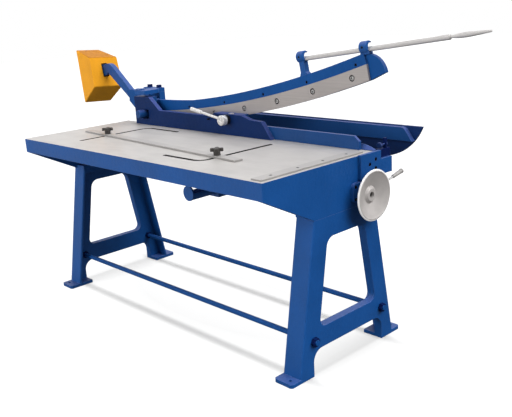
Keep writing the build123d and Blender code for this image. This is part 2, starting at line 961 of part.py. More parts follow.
# Pivot pin through hold-down slot, beam, arm and bracket, with its nut behind
collar_front = hold_front_y - pivot_proud
pin_rear = post_rear + pivot_nut_height + pivot_thread_proud
with BuildPart() as pivot_pin:
    with BuildSketch(at_y(cut_y)):
        with Locations((pivot_x, pivot_z)):
            Circle(pivot_collar_diameter / 2)
    extrude(amount=cut_y - collar_front)
    fillet(pivot_pin.faces().sort_by(Axis.Y)[0].edges(), pivot_collar_edge)
    with BuildSketch(at_y(pin_rear)):
        with Locations((pivot_x, pivot_z)):
            Circle(pivot_diameter / 2)
    extrude(amount=pin_rear - cut_y)
save(pivot_pin.part, "pivot_pin")

with BuildPart() as pivot_nut:
    with BuildSketch(at_y(post_rear + pivot_nut_height)):
        with Locations((pivot_x, pivot_z)):
            RegularPolygon(pivot_nut_flats / 2, 6, major_radius=False)
            Circle(pivot_diameter / 2 + press_clearance, mode=Mode.SUBTRACT)
    extrude(amount=pivot_nut_height)
save(pivot_nut.part, "pivot_nut")

# Hold-down: front casting with lug and boss, and the long bar behind it
casting_outline = (
    (hold_down_left, hold_bottom),
    (hold_down_left, top + lug_height),
    (lug_right, top + lug_height),
    (lug_right + lug_slope_run, top + casting_height),
    (boss_left - boss_slope, top + casting_height),
    (boss_left, top + boss_height),
    (boss_right, top + boss_height),
    (boss_right + boss_right_run, top + casting_height),
    (casting_right - casting_right_run, top + casting_right_height),
    (casting_right, hold_bottom),
)
bar_outline = (
    (lug_right, hold_bottom),
    (lug_right, top + bar_height),
    (bar_right - bar_chamfer_run, top + bar_height),
    (bar_right, top + bar_height - bar_chamfer_drop),
    (bar_right, hold_bottom),
)
toe_sections = ((lug_right, ledge_height), (bar_right, ledge_height)) + tuple(
    (bar_right + reach, height) for reach, height in toe_steps
)
slot_half = pivot_collar_diameter / 2 + pivot_slot_clearance
link_radius = clamp_cam_diameter / 2 + link_play
link_outer = link_radius + link_rim
with BuildPart() as hold_down:
    with BuildSketch(at_y(bar_front_y)):
        with BuildLine():
            Polyline(*casting_outline, close=True)
        make_face()
    extrude(amount=hold_down_depth)
    with BuildSketch(at_y(bar_rear_y)):
        with BuildLine():
            Polyline(*bar_outline, close=True)
        make_face()
    extrude(amount=bar_depth)
    # Sloped ledge behind the bar, running out into the toe at the right
    for (near, near_height), (far, far_height) in zip(toe_sections, toe_sections[1:]):
        for x, height in ((near, near_height), (far, far_height)):
            with BuildSketch(Plane.YZ.offset(x)):
                with BuildLine():
                    Polyline(
                        (bar_rear_y, hold_bottom),
                        (hold_rear_y, hold_bottom),
                        (hold_rear_y, top + height),
                        (bar_rear_y, hold_bottom + ledge_lip),
                        close=True,
                    )
                make_face()
        loft(ruled=True)
    with BuildSketch(at_y(hold_rear_y)):
        with Locations(((hold_down_left + lug_right) / 2, (hold_bottom + top + lug_height) / 2)):
            Rectangle(lug_right - hold_down_left, top + lug_height - hold_bottom)
        with Locations(((boss_left + boss_right) / 2, (hold_bottom + top + boss_height) / 2)):
            Rectangle(boss_right - boss_left, top + boss_height - hold_bottom)
    extrude(amount=hold_rear_y - bar_front_y)
    with BuildSketch(at_y(hold_rear_y)):
        with Locations((pivot_x + pivot_window / 2, pivot_z - hold_down_lift / 2)):
            Rectangle(2 * slot_half + pivot_window, 2 * slot_half + hold_down_lift)
    extrude(amount=hold_rear_y - hold_front_y, mode=Mode.SUBTRACT)
    with BuildSketch(at_y(hold_rear_y)):
        with Locations((clamp_x, clamp_z)):
            Circle(clamp_shaft_diameter / 2 + running_clearance)
    extrude(amount=hold_rear_y - hold_front_y, mode=Mode.SUBTRACT)
    with BuildSketch(Plane.XY.offset(hold_bottom)):
        with Locations((link_x, link_y)):
            Rectangle(2 * (link_outer + link_room), link_thickness + 2 * link_room)
    extrude(amount=top + boss_height - hold_bottom, mode=Mode.SUBTRACT)
    with BuildSketch(at_y(hold_front_y)):
        with Locations((stop_pin_x, top + stop_pin_rise)):
            Circle(stop_pin_diameter / 2 + press_clearance)
    extrude(amount=-stop_pin_depth, mode=Mode.SUBTRACT)
save(hold_down.part, "hold_down")

with BuildPart() as lever_stop_pin:
    with BuildSketch(at_y(hold_front_y + stop_pin_depth)):
        with Locations((stop_pin_x, top + stop_pin_rise)):
            Circle(stop_pin_diameter / 2)
    extrude(amount=stop_pin_depth + stop_pin_proud)
    fillet(lever_stop_pin.faces().sort_by(Axis.Y)[0].edges(), stop_pin_edge)
save(lever_stop_pin.part, "lever_stop_pin")

# Clamp: hub with shaft, cam, lever rod and grip on the hold-down, and the tie link in the bed
hub_back = hold_front_y - flat_clearance
hub_front = hub_back - clamp_hub_length
hub_middle = (hub_back + hub_front) / 2
lever_tilt = radians(lever_rise_angle)
lever_direction = (-cos(lever_tilt), 0, sin(lever_tilt))
lever_plane = Plane(origin=(clamp_x, hub_middle, clamp_z), x_dir=(0, 1, 0), z_dir=lever_direction)
with BuildPart() as clamp_hub:
    with BuildSketch(at_y(hub_back)):
        with Locations((clamp_x, clamp_z)):
            Circle(clamp_hub_diameter / 2)
    extrude(amount=clamp_hub_length)
    fillet(clamp_hub.faces().sort_by(Axis.Y)[0].edges(), clamp_hub_edge)
    with BuildSketch(at_y(hold_rear_y)):
        with Locations((clamp_x, clamp_z)):
            Circle(clamp_shaft_diameter / 2)
    extrude(amount=hold_rear_y - hub_back)
    with BuildSketch(lever_plane.offset(lever_seat)):
        Circle(lever_rod_diameter / 2 + press_clearance)
    extrude(amount=clamp_hub_diameter, mode=Mode.SUBTRACT)
save(clamp_hub.part, "clamp_hub")

with BuildPart() as clamp_cam:
    with BuildSketch(at_y(link_y + clamp_cam_width / 2)):
        with Locations((link_x, link_z)):
            Circle(clamp_cam_diameter / 2)
        with Locations((clamp_x, clamp_z)):
            Circle(clamp_shaft_diameter / 2 + press_clearance, mode=Mode.SUBTRACT)
    extrude(amount=clamp_cam_width)
save(clamp_cam.part, "clamp_cam")

lever_grip_start = lever_length - lever_grip_length
lever_spigot = lever_rod_diameter / 2 - 2
with BuildPart() as clamp_lever:
    with BuildSketch(lever_plane.offset(lever_seat)):
        Circle(lever_rod_diameter / 2)
    extrude(amount=lever_grip_start - lever_seat)
    with BuildSketch(lever_plane.offset(lever_grip_start)):
        Circle(lever_spigot)
    extrude(amount=lever_grip_length / 2)
save(clamp_lever.part, "clamp_lever")

with BuildPart() as clamp_grip:
    with BuildSketch(lever_plane.offset(lever_grip_start)):
        Circle(lever_grip_diameter / 2)
    extrude(amount=lever_grip_length)
    grip_rims = clamp_grip.edges().filter_by(GeomType.CIRCLE)
    fillet(grip_rims, lever_grip_edge)
    with BuildSketch(lever_plane.offset(lever_grip_start)):
        Circle(lever_spigot + press_clearance)
    extrude(amount=lever_grip_length / 2, mode=Mode.SUBTRACT)
save(clamp_grip.part, "clamp_grip")

with BuildPart() as clamp_link:
    with BuildSketch(at_y(link_y + link_thickness / 2)):
        with Locations((link_x, link_z)):
            Circle(link_outer)
        with Locations((link_x, (top + link_z) / 2)):
            Rectangle(link_stem_diameter, link_z - top)
        with Locations((link_x, link_z)):
            Circle(link_radius, mode=Mode.SUBTRACT)
    extrude(amount=link_thickness)
    with BuildSketch(Plane.XY.offset(top)):
        with Locations((link_x, link_y)):
            Circle(link_stem_diameter / 2)
    extrude(amount=-link_stem_depth)
save(clamp_link.part, "clamp_link")

# Blade beam: arcs about one centre give the blade's edges and the beam's top
chord_level = -(pivot_rise + blade_overlap)
blade_end = blade_start + blade_length
bow_radius = ((blade_length / 2) ** 2 + blade_bow**2) / (2 * blade_bow)
bow_u = blade_start + blade_length / 2
bow_w = chord_level - blade_bow + bow_radius
top_radius = bow_radius - beam_depth
blade_top_radius = bow_radius - blade_height


def bow(radius, u):
    """Point on the arc of that radius about the beam's bow centre, below the centre."""
    return (u, bow_w - sqrt(radius**2 - (u - bow_u) ** 2))


def bow_arc(radius, first, last):
    """Arc of the bow between two stations along the chord."""
    return ThreePointArc(bow(radius, first), bow(radius, (first + last) / 2), bow(radius, last))


nose_right = blade_end + nose_reach
nose_centre = (nose_right - nose_radius, chord_level + nose_drop)
nose_lift = bow(top_radius, nose_centre[0])[1] - nose_centre[1]
nose_top_u = nose_centre[0] + sqrt(max(nose_radius**2 - nose_lift**2, 0)) * 0.5
nose_top = bow(top_radius, nose_top_u)
nose_mid_angle = (atan2(nose_top[1] - nose_centre[1], nose_top[0] - nose_centre[0])) / 2
nose_mid = (
    nose_centre[0] + nose_radius * cos(nose_mid_angle),
    nose_centre[1] + nose_radius * sin(nose_mid_angle),
)
blade_screw_middle = bow_radius - blade_height / 2
blade_screw_spots = [
    bow(blade_screw_middle, blade_end - blade_screw_end - step * blade_screw_pitch)
    for step in range(blade_screw_count)
]
adjuster_spots = [
    bow(blade_top_radius - adjuster_rise, blade_end - adjuster_end - step * adjuster_pitch)
    for step in range(adjuster_count)
]
bush_radius = pivot_diameter / 2 + running_clearance + bush_wall
pocket_span = (blade_end - beam_pocket_start) / beam_pocket_count
with BuildPart() as blade_beam:
    with BuildSketch(beam_plane(hub_rear)):
        Circle(beam_hub_radius)
        with BuildLine():
            Polyline((0, beam_hub_radius), *tail_points, (0, -beam_hub_radius), close=True)
        make_face()
        with BuildLine():
            Polyline((0, beam_hub_radius), (0, -beam_hub_radius), bow(bow_radius, blade_start))
            Line(bow(bow_radius, blade_start), bow(bow_radius, beam_flare))
            Line(bow(bow_radius, beam_flare), bow(top_radius, beam_flare))
            Line(bow(top_radius, beam_flare), (0, beam_hub_radius))
        make_face()
    extrude(amount=beam_hub_thickness)
    with BuildSketch(beam_plane(beam_rear)):
        with BuildLine():
            bow_arc(bow_radius, blade_start, blade_end)
            Line(bow(bow_radius, blade_end), (nose_right, nose_centre[1]))
            ThreePointArc((nose_right, nose_centre[1]), nose_mid, nose_top)
            bow_arc(top_radius, nose_top_u, beam_flare)
            flare_top = (beam_body_reach, beam_hub_radius * (1 - beam_body_reach / beam_flare))
            Polyline(bow(top_radius, beam_flare), flare_top, bow(bow_radius, blade_start))
        make_face()
    extrude(amount=beam_thickness)
    # Rebate for the blade, open at the nose
    with BuildSketch(beam_plane(beam_front + blade_thickness)):
        with BuildLine():
            bow_arc(blade_top_radius, blade_start, nose_right)
            Polyline(
                bow(blade_top_radius, nose_right),
                (nose_right, chord_level - 2 * blade_bow),
                (blade_start, chord_level - 2 * blade_bow),
                bow(blade_top_radius, blade_start),
            )
        make_face()
    extrude(amount=blade_thickness, mode=Mode.SUBTRACT)
    blade_corner = bow(blade_top_radius, blade_end)
    with BuildSketch(beam_plane(beam_front + blade_thickness)):
        with BuildLine():
            Polyline(
                blade_corner,
                (blade_end - nose_step, blade_corner[1] + beam_depth),
                (nose_right + nose_step, blade_corner[1] + beam_depth),
                (nose_right + nose_step, blade_corner[1]),
                close=True,
            )
        make_face()
    extrude(amount=blade_thickness, mode=Mode.SUBTRACT)
    # Lightening pockets in the back, with ribs between them
    for pocket in range(beam_pocket_count):
        first = beam_pocket_start + pocket * pocket_span
        last = first + pocket_span - beam_rim
        with BuildSketch(beam_plane(beam_rear)):
            with BuildLine():
                bow_arc(bow_radius - beam_rim, first, last)
                Line(bow(bow_radius - beam_rim, last), bow(top_radius + beam_rim, last))
                bow_arc(top_radius + beam_rim, last, first)
                Line(bow(top_radius + beam_rim, first), bow(bow_radius - beam_rim, first))
            make_face()
        extrude(amount=beam_pocket_depth, mode=Mode.SUBTRACT)
    with BuildSketch(beam_plane(beam_rear)):
        with Locations(*blade_screw_spots):
            Circle(blade_screw_diameter / 2 + hole_clearance)
        with Locations(*adjuster_spots):
            Circle(adjuster_diameter / 2 + hole_clearance)
    extrude(amount=beam_thickness, mode=Mode.SUBTRACT)
    with BuildSketch(beam_plane(hub_rear)):
        Circle(bush_radius + press_clearance)
    extrude(amount=beam_hub_thickness, mode=Mode.SUBTRACT)
    with BuildSketch(beam_plane(hub_rear)):
        with Locations(*arm_screw_places):
            Circle(blade_screw_diameter / 2 + hole_clearance)
    extrude(amount=arm_screw_depth, mode=Mode.SUBTRACT)
save(blade_beam.part, "blade_beam")

with BuildPart() as upper_blade:
    with BuildSketch(beam_plane(beam_front + blade_thickness)):
        with BuildLine():
            bow_arc(bow_radius, blade_start, blade_end)
            Line(bow(bow_radius, blade_end), bow(blade_top_radius, blade_end))
            bow_arc(blade_top_radius, blade_end, blade_start)
            Line(bow(blade_top_radius, blade_start), bow(bow_radius, blade_start))
        make_face()
        with Locations(*blade_screw_spots):
            Circle(blade_screw_diameter / 2 + hole_clearance, mode=Mode.SUBTRACT)
    extrude(amount=blade_thickness)
    with BuildSketch(beam_plane(beam_front + blade_head_height)):
        with Locations(*blade_screw_spots):
            Circle(blade_counterbore / 2)
    extrude(amount=blade_head_height, mode=Mode.SUBTRACT)
save(upper_blade.part, "upper_blade")


def beam_facing(u, w, y):
    """Plane on the beam at one place, facing the front."""
    tilt = radians(open_angle)
    return Plane(origin=in_beam(u, w, y), x_dir=(cos(tilt), 0, sin(tilt)), z_dir=(0, -1, 0))


blade_screw_planes = [beam_facing(u, w, beam_front + flat_clearance) for u, w in blade_screw_spots]
blade_screw_length = beam_thickness - blade_head_height - flat_clearance - beam_pocket_depth
blade_screws = flush_screws(
    blade_screw_planes,
    blade_screw_diameter,
    blade_screw_length,
    blade_screw_head,
    blade_head_height - flat_clearance,
    blade_screw_socket,
)
save(blade_screws, "blade_screws")

adjuster_planes = [beam_facing(u, w, beam_front + adjuster_sink) for u, w in adjuster_spots]
with BuildPart() as beam_adjusting_screws:
    for plane in adjuster_planes:
        with BuildSketch(plane):
            Circle(adjuster_diameter / 2)
            RegularPolygon(adjuster_diameter / 4, 6, major_radius=False, mode=Mode.SUBTRACT)
        extrude(amount=-(beam_thickness - beam_pocket_depth - adjuster_sink))
save(beam_adjusting_screws.part, "beam_adjusting_screws")

# Counterweight arm: eye on the pivot and a cranked bar whose end enters the weight
weight_lean = radians(weight_tilt)
weight_out = (-cos(weight_lean), sin(weight_lean))
weight_up = (sin(weight_lean), cos(weight_lean))


def on_weight(out, up):
    """Point in the beam plane from the middle of the weight's inner face."""
    return (
        weight_face[0] + out * weight_out[0] + up * weight_up[0],
        weight_face[1] + out * weight_out[1] + up * weight_up[1],
    )


with BuildPart() as counterweight_arm:
    with BuildSketch(beam_plane(arm_rear)):
        Circle(beam_hub_radius)
        with BuildLine():
            arm_end_top = on_weight(weight_socket_depth, arm_end_rise)
            arm_end_low = on_weight(weight_socket_depth, -arm_end_drop)
            FilletPolyline(arm_end_top, arm_elbow_top, arm_hub_top, radius=arm_elbow_radius)
            Line(arm_hub_top, arm_hub_low)
            arm_stub_low = on_weight(-arm_end_stub, -arm_end_drop)
            FilletPolyline(arm_hub_low, arm_elbow_low, arm_stub_low, arm_end_low, radius=arm_inner_radius)
            Line(arm_end_low, arm_end_top)
        make_face()
        with BuildLine():
            Polyline((0, beam_hub_radius), *arm_tail_points, (0, -beam_hub_radius), close=True)
        make_face()
    extrude(amount=arm_thickness)
    with BuildSketch(beam_plane(arm_rear)):
        Circle(bush_radius + press_clearance)
        with Locations(*arm_screw_places):
            Circle(blade_screw_diameter / 2 + hole_clearance)
    extrude(amount=arm_thickness, mode=Mode.SUBTRACT)
    with BuildSketch(beam_plane(arm_rear)):
        with Locations(*arm_screw_places):
            Circle(blade_screw_head / 2 + hole_clearance)
    extrude(amount=blade_head_height, mode=Mode.SUBTRACT)
    weight_origin = in_beam(*weight_face, arm_middle)
    weight_tip = in_beam(*on_weight(1, 0), arm_middle)
    weight_outward = tuple(b - a for a, b in zip(weight_origin, weight_tip))
    weight_crown = in_beam(*on_weight(0, 1), arm_middle)
    weight_upward = tuple(b - a for a, b in zip(weight_origin, weight_crown))
    weight_plane = Plane(origin=weight_origin, x_dir=(0, 1, 0), z_dir=weight_outward)
    with BuildSketch(weight_plane.offset(weight_socket_depth)):
        with Locations((0, -weight_bolt_spread / 2), (0, weight_bolt_spread / 2)):
            Circle(weight_bolt_diameter / 2 + hole_clearance)
    extrude(amount=-screw_hole_depth, mode=Mode.SUBTRACT)
save(counterweight_arm.part, "counterweight_arm")

arm_screw_planes = [
    Plane(
        origin=in_beam(u, w, arm_rear - flat_clearance),
        x_dir=(cos(radians(open_angle)), 0, sin(radians(open_angle))),
        z_dir=rear_facing,
    )
    for u, w in arm_screw_places
]
arm_screw_length = arm_thickness + arm_screw_depth - blade_head_height
arm_screws = flush_screws(
    arm_screw_planes,
    blade_screw_diameter,
    arm_screw_length,
    blade_screw_head,
    blade_head_height - flat_clearance,
    blade_screw_socket,
)
save(arm_screws, "arm_screws")

with BuildPart() as pivot_bush:
    with BuildSketch(beam_plane(arm_rear)):
        Circle(bush_radius)
        Circle(pivot_diameter / 2 + running_clearance, mode=Mode.SUBTRACT)
    extrude(amount=arm_rear - beam_front)
save(pivot_bush.part, "pivot_bush")

# Counterweight: trapezoid prism with a socket for the arm, and two bolts from its far side
socket_width = arm_thickness + 2 * weight_socket_gap
socket_low = -arm_end_drop - weight_socket_gap
socket_high = arm_end_rise + weight_socket_gap
draft_out = tan(radians(weight_rear_draft))
draft_up = tan(radians(weight_side_draft))
rear_growth = draft_up * (weight_short_side + weight_long_side) / 2
with BuildPart() as weight_block:
    with BuildSketch(beam_plane(arm_middle + weight_width / 2 + rear_growth)):
        with BuildLine():
            Polyline(
                on_weight(0, -weight_short_side / 2),
                on_weight(0, weight_short_side / 2),
                on_weight(weight_depth, weight_long_side / 2),
                on_weight(weight_depth, -weight_long_side / 2),
                close=True,
            )
        make_face()
    extrude(amount=weight_width + rear_growth)
    # The rear side narrows outwards and upwards
    rear_corner = in_beam(*on_weight(0, weight_short_side / 2), arm_middle + weight_width / 2)
    rear_normal = tuple(
        draft_out * out + draft_up * up + across
        for out, up, across in zip(weight_outward, weight_upward, (0, 1, 0))
    )
    split(bisect_by=Plane(origin=rear_corner, z_dir=rear_normal), keep=Keep.BOTTOM)
    chamfer(weight_block.edges(), weight_edge)

with BuildPart() as counterweight:
    add(weight_block.part.rotate(Axis(weight_origin, weight_outward), weight_roll))
    with BuildSketch(beam_plane(arm_middle + socket_width / 2)):
        with BuildLine():
            Polyline(
                on_weight(-weight_edge, socket_low),
                on_weight(-weight_edge, socket_high),
                on_weight(weight_socket_depth, socket_high),
                on_weight(weight_socket_depth, socket_low),
                close=True,
            )
        make_face()
    extrude(amount=socket_width, mode=Mode.SUBTRACT)
    with BuildSketch(weight_plane):
        with Locations((0, -weight_bolt_spread / 2), (0, weight_bolt_spread / 2)):
            Circle(weight_bolt_diameter / 2 + hole_clearance)
    extrude(amount=weight_depth, mode=Mode.SUBTRACT)
save(counterweight.part, "counterweight")

weight_bolt_planes = [
    Plane(origin=in_beam(*on_weight(weight_depth, up), arm_middle), x_dir=(0, 1, 0), z_dir=weight_outward)
    for up in (-weight_bolt_spread / 2, weight_bolt_spread / 2)
]
weight_bolt_length = weight_depth - weight_socket_depth + screw_hole_depth
counterweight_bolts = hex_bolts(
    weight_bolt_planes, weight_bolt_diameter, weight_bolt_length, weight_bolt_flats, weight_bolt_head
)
save(counterweight_bolts, "counterweight_bolts")

# Handle: two eyes on the beam, a round bar through both and a turned grip
handle_y = (beam_front + beam_rear) / 2
outer_eye_place = blade_end - outer_eye_inset
inner_eye_place = outer_eye_place - eye_spread
handle_neck = blade_end + handle_overhang
handle_fall = sin(radians(handle_tilt)) / cos(radians(handle_tilt))
inner_eye_rise = bow(top_radius, outer_eye_place)[1] + outer_eye_stand - eye_spread * handle_fall
handle_slope = radians(open_angle + handle_tilt)
handle_direction = (cos(handle_slope), 0, sin(handle_slope))
handle_origin = in_beam(inner_eye_place, inner_eye_rise, handle_y)


def handle_plane(u):
    """Plane square to the handle bar at a station of the beam's chord."""
    along = (u - inner_eye_place) / cos(radians(handle_tilt))
    origin = tuple(start + along * step for start, step in zip(handle_origin, handle_direction))
    return Plane(origin=origin, x_dir=(0, 1, 0), z_dir=handle_direction)


def eye_rise(place):
    """Height of the handle's axis over the chord at one station."""
    return inner_eye_rise + (place - inner_eye_place) * handle_fall


screw_lean = radians(set_screw_angle)
screw_reach = eye_lift * sin(screw_lean) + sqrt((eye_diameter / 2) ** 2 - (eye_lift * cos(screw_lean)) ** 2)


def set_screw_plane(place):
    """Plane on the handle's axis that faces the front and a little up, along the set screw."""
    seat = handle_plane(place)
    facing = seat.x_dir * -cos(screw_lean) + seat.y_dir * sin(screw_lean)
    return Plane(origin=seat.origin, x_dir=seat.z_dir, z_dir=facing)


def make_eye(place):
    """Hooked eye on a post that sits on the beam's top edge, open to the rear above the bar."""
    foot = bow(top_radius, place)[1]
    half_post = eye_post_length / 2
    with BuildPart() as eye:
        with BuildSketch(handle_plane(place)):
            with Locations((0, eye_lift)):
                Circle(eye_diameter / 2)
        extrude(amount=eye_length / 2, both=True)
        fillet(eye.edges().filter_by(GeomType.CIRCLE), eye_edge)
        with BuildSketch(beam_plane(handle_y + eye_post_thickness / 2)):
            with BuildLine():
                Polyline(
                    (place - half_post - eye_post_flare, foot - beam_rim / 2),
                    (place + half_post + eye_post_flare, foot - beam_rim / 2),
                    (place + half_post + eye_post_flare, foot + beam_rim / 4),
                    (place + half_post, foot + beam_rim),
                    (place + half_post, eye_rise(place)),
                    (place - half_post, eye_rise(place)),
                    (place - half_post, foot + beam_rim),
                    (place - half_post - eye_post_flare, foot),
                    close=True,
                )
            make_face()
        extrude(amount=eye_post_thickness)
        with BuildSketch(handle_plane(place)):
            Circle(handle_diameter / 2 + running_clearance)
            with Locations(eye_mouth_place):
                Circle(eye_mouth_radius)
            with Locations((eye_post_thickness / 2 + eye_diameter / 2, eye_lift)):
                Rectangle(eye_diameter, eye_jaw_width)
            with Locations((eye_post_thickness / 2 + eye_diameter / 2, -eye_lift)):
                Rectangle(eye_diameter, eye_jaw_width)
        extrude(amount=eye_length, both=True, mode=Mode.SUBTRACT)
        with BuildSketch(set_screw_plane(place)):
            Circle(set_screw_diameter / 2 + hole_clearance)
        extrude(amount=eye_diameter, mode=Mode.SUBTRACT)
        add(blade_beam.part, mode=Mode.SUBTRACT)
    return eye.part


inner_eye = make_eye(inner_eye_place)
save(inner_eye, "inner_handle_eye")
outer_eye = make_eye(outer_eye_place)
save(outer_eye, "outer_handle_eye")

screw_seat = handle_diameter / 2 + running_clearance
with BuildPart() as handle_set_screws:
    for place in (inner_eye_place, outer_eye_place):
        with BuildSketch(set_screw_plane(place).offset(screw_seat)):
            Circle(set_screw_diameter / 2)
        extrude(amount=screw_reach - screw_seat + set_screw_proud)
save(handle_set_screws.part, "handle_set_screws")

bar_length = (handle_neck - inner_eye_place) / cos(radians(handle_tilt)) + handle_start
with BuildPart() as handle_bar:
    with BuildSketch(handle_plane(inner_eye_place).offset(-handle_start)):
        Circle(handle_diameter / 2)
    extrude(amount=bar_length)
    chamfer(handle_bar.edges().filter_by(GeomType.CIRCLE), handle_edge)
    with BuildSketch(handle_plane(handle_neck)):
        Circle(grip_spigot_diameter / 2 + press_clearance)
    extrude(amount=-grip_spigot_length, mode=Mode.SUBTRACT)
save(handle_bar.part, "handle_bar")

neck = handle_plane(handle_neck)
grip_profile = Plane(origin=neck.origin, x_dir=neck.z_dir, z_dir=neck.x_dir)
neck_end = (grip_length * grip_neck_share, grip_neck_diameter / 2)
tip_start = (grip_length * grip_tip_share, grip_end_diameter / 2)
with BuildPart() as handle_grip:
    with BuildSketch(grip_profile):
        with BuildLine():
            Polyline(
                (grip_length, 0),
                (-grip_spigot_length, 0),
                (-grip_spigot_length, grip_spigot_diameter / 2),
                (0, grip_spigot_diameter / 2),
                (0, grip_neck_diameter / 2),
                neck_end,
            )
            Spline(
                neck_end,
                (grip_length * grip_swell_share, grip_diameter / 2),
                (grip_length * grip_taper_share, grip_taper_diameter / 2),
                tip_start,
            )
            Polyline(tip_start, (grip_length, grip_tip_diameter / 2), (grip_length, 0))
        make_face()
    revolve(axis=Axis(neck.origin, neck.z_dir))
save(handle_grip.part, "handle_grip")

# End guide: bracket on the right cheek with a notch for the beam's nose, shoe and adjusting screw
shoe_front = beam_rear + shoe_gap
notch_front = beam_front + blade_thickness - guide_notch_clearance
guide_top = top + guide_top_rise
notch_floor = top - notch_drop
with BuildPart() as end_guide_bracket:
    with BuildSketch(Plane.YZ.offset(half_length)):
        with BuildLine():
            Polyline(
                (guide_start, top - guide_depth),
                (guide_end, top - guide_depth),
                (guide_end, notch_floor),
                (notch_front, notch_floor),
                (notch_front, guide_top),
                (guide_start, guide_top),
                close=True,
            )
        make_face()
        with Locations(*guide_screw_spots):
            Circle(guide_screw_diameter / 2 + hole_clearance, mode=Mode.SUBTRACT)
    extrude(amount=guide_thickness)
    with BuildSketch(Plane.YZ.offset(half_length + guide_thickness)):
        with Locations(*guide_screw_spots):
            Circle(guide_screw_head / 2)
    extrude(amount=-guide_screw_diameter, mode=Mode.SUBTRACT)
save(end_guide_bracket.part, "end_guide_bracket")

side_facing = (1, 0, 0)
guide_screw_planes = [
    Plane(origin=(half_length + guide_thickness - flat_clearance, y, z), x_dir=(0, 1, 0), z_dir=side_facing)
    for y, z in guide_screw_spots
]
end_guide_screws = flush_screws(
    guide_screw_planes,
    guide_screw_diameter,
    guide_screw_length,
    guide_screw_head - 2 * guide_screw_play,
    guide_screw_diameter - flat_clearance,
    guide_screw_socket,
)
save(end_guide_screws, "end_guide_screws")

shoe_left = half_length - shoe_length
shoe_right = half_length - shoe_setback
shoe_rear = cut_y + shoe_rear_reach
shoe_bottom = notch_floor - shoe_foot_height
shoe_top = top - shoe_top_drop
upright_front = shoe_front + shoe_upright_setback
shoe_upright_rear = upright_front + shoe_upright_thickness
guide_adjuster_x = shoe_right - shoe_upright_width / 2
guide_adjuster_z = top + guide_adjuster_rise
with BuildPart() as guide_shoe:
    # Foot against the inner face of the bracket
    with BuildSketch(Plane.YZ.offset(shoe_left)):
        with Locations(((shoe_front + guide_end) / 2, notch_floor - shoe_foot_height / 2)):
            Rectangle(guide_end - shoe_front, shoe_foot_height)
    extrude(amount=shoe_length)
    with BuildSketch(Plane.YZ.offset(shoe_left)):
        with Locations(((shoe_front + shoe_rear) / 2, (shoe_bottom + shoe_top) / 2)):
            Rectangle(shoe_rear - shoe_front, shoe_top - shoe_bottom)
    extrude(amount=shoe_right - shoe_left)
    # Post that carries the adjusting screw
    with BuildSketch(at_y(shoe_upright_rear)):
        with Locations((guide_adjuster_x, (shoe_top + top + shoe_upright_height) / 2)):
            Rectangle(shoe_upright_width, top + shoe_upright_height - shoe_top)
    extrude(amount=shoe_upright_thickness)
    with BuildSketch(at_y(shoe_upright_rear)):
        with Locations((guide_adjuster_x, guide_adjuster_z)):
            Circle(guide_adjuster_diameter / 2 + hole_clearance)
    extrude(amount=shoe_upright_thickness, mode=Mode.SUBTRACT)
save(guide_shoe.part, "guide_shoe")

# Its broad head stands against the beam, its nut behind the post
adjuster_front = shoe_front - guide_adjuster_tip
adjuster_rear = shoe_upright_rear + guide_adjuster_nut + guide_adjuster_proud
adjuster_spot = (guide_adjuster_x, guide_adjuster_z)
with BuildPart() as guide_adjusting_screw:
    with BuildSketch(at_y(adjuster_front + guide_adjuster_head)):
        with Locations(adjuster_spot):
            RegularPolygon(guide_adjuster_flats / 2, 6, major_radius=False)
    extrude(amount=guide_adjuster_head)
    with BuildSketch(at_y(adjuster_rear)):
        with Locations(adjuster_spot):
            Circle(guide_adjuster_diameter / 2)
    extrude(amount=adjuster_rear - adjuster_front)
    with BuildSketch(at_y(shoe_upright_rear + guide_adjuster_nut)):
        with Locations(adjuster_spot):
            RegularPolygon(guide_adjuster_nut_flats / 2, 6, major_radius=False)
    extrude(amount=guide_adjuster_nut)
save(guide_adjusting_screw.part, "guide_adjusting_screw")

# Bearings of the cross shaft
with BuildPart() as bearing_flange:
    with BuildSketch(Plane.YZ.offset(half_length)):
        with Locations((shaft_y, flange_z)):
            RectangleRounded(flange_width, flange_height, flange_corner)
        with Locations(*flange_screw_spots):
            Circle(flange_screw_diameter / 2 + hole_clearance, mode=Mode.SUBTRACT)
    extrude(amount=flange_thickness)
    with BuildSketch(Plane.YZ.offset(flange_face)):
        with Locations(*flange_screw_spots):
            Circle(flange_screw_head / 2)
    extrude(amount=-flange_screw_head_height, mode=Mode.SUBTRACT)
    with BuildSketch(Plane.YZ.offset(half_length - cheek_thickness)):
        with Locations((shaft_y, shaft_z)):
            Circle(flange_spigot_diameter / 2)
    extrude(amount=cheek_thickness)
    with BuildSketch(Plane.YZ.offset(half_length - cheek_thickness)):
        with Locations((shaft_y, shaft_z)):
            Circle(shaft_diameter / 2 + running_clearance)
    extrude(amount=cheek_thickness + flange_thickness, mode=Mode.SUBTRACT)
save(bearing_flange.part, "bearing_flange")

bearing_screw_planes = [
    Plane(origin=(flange_face - flat_clearance, y, z), x_dir=(0, 1, 0), z_dir=side_facing)
    for y, z in flange_screw_spots
]
bearing_screw_length = flange_thickness - flange_screw_head_height + flange_screw_depth
bearing_screws = flush_screws(
    bearing_screw_planes,
    flange_screw_diameter,
    bearing_screw_length,
    flange_screw_head - 2 * guide_screw_play,
    flange_screw_head_height - flat_clearance,
    flange_screw_socket,
)
save(bearing_screws, "bearing_screws")

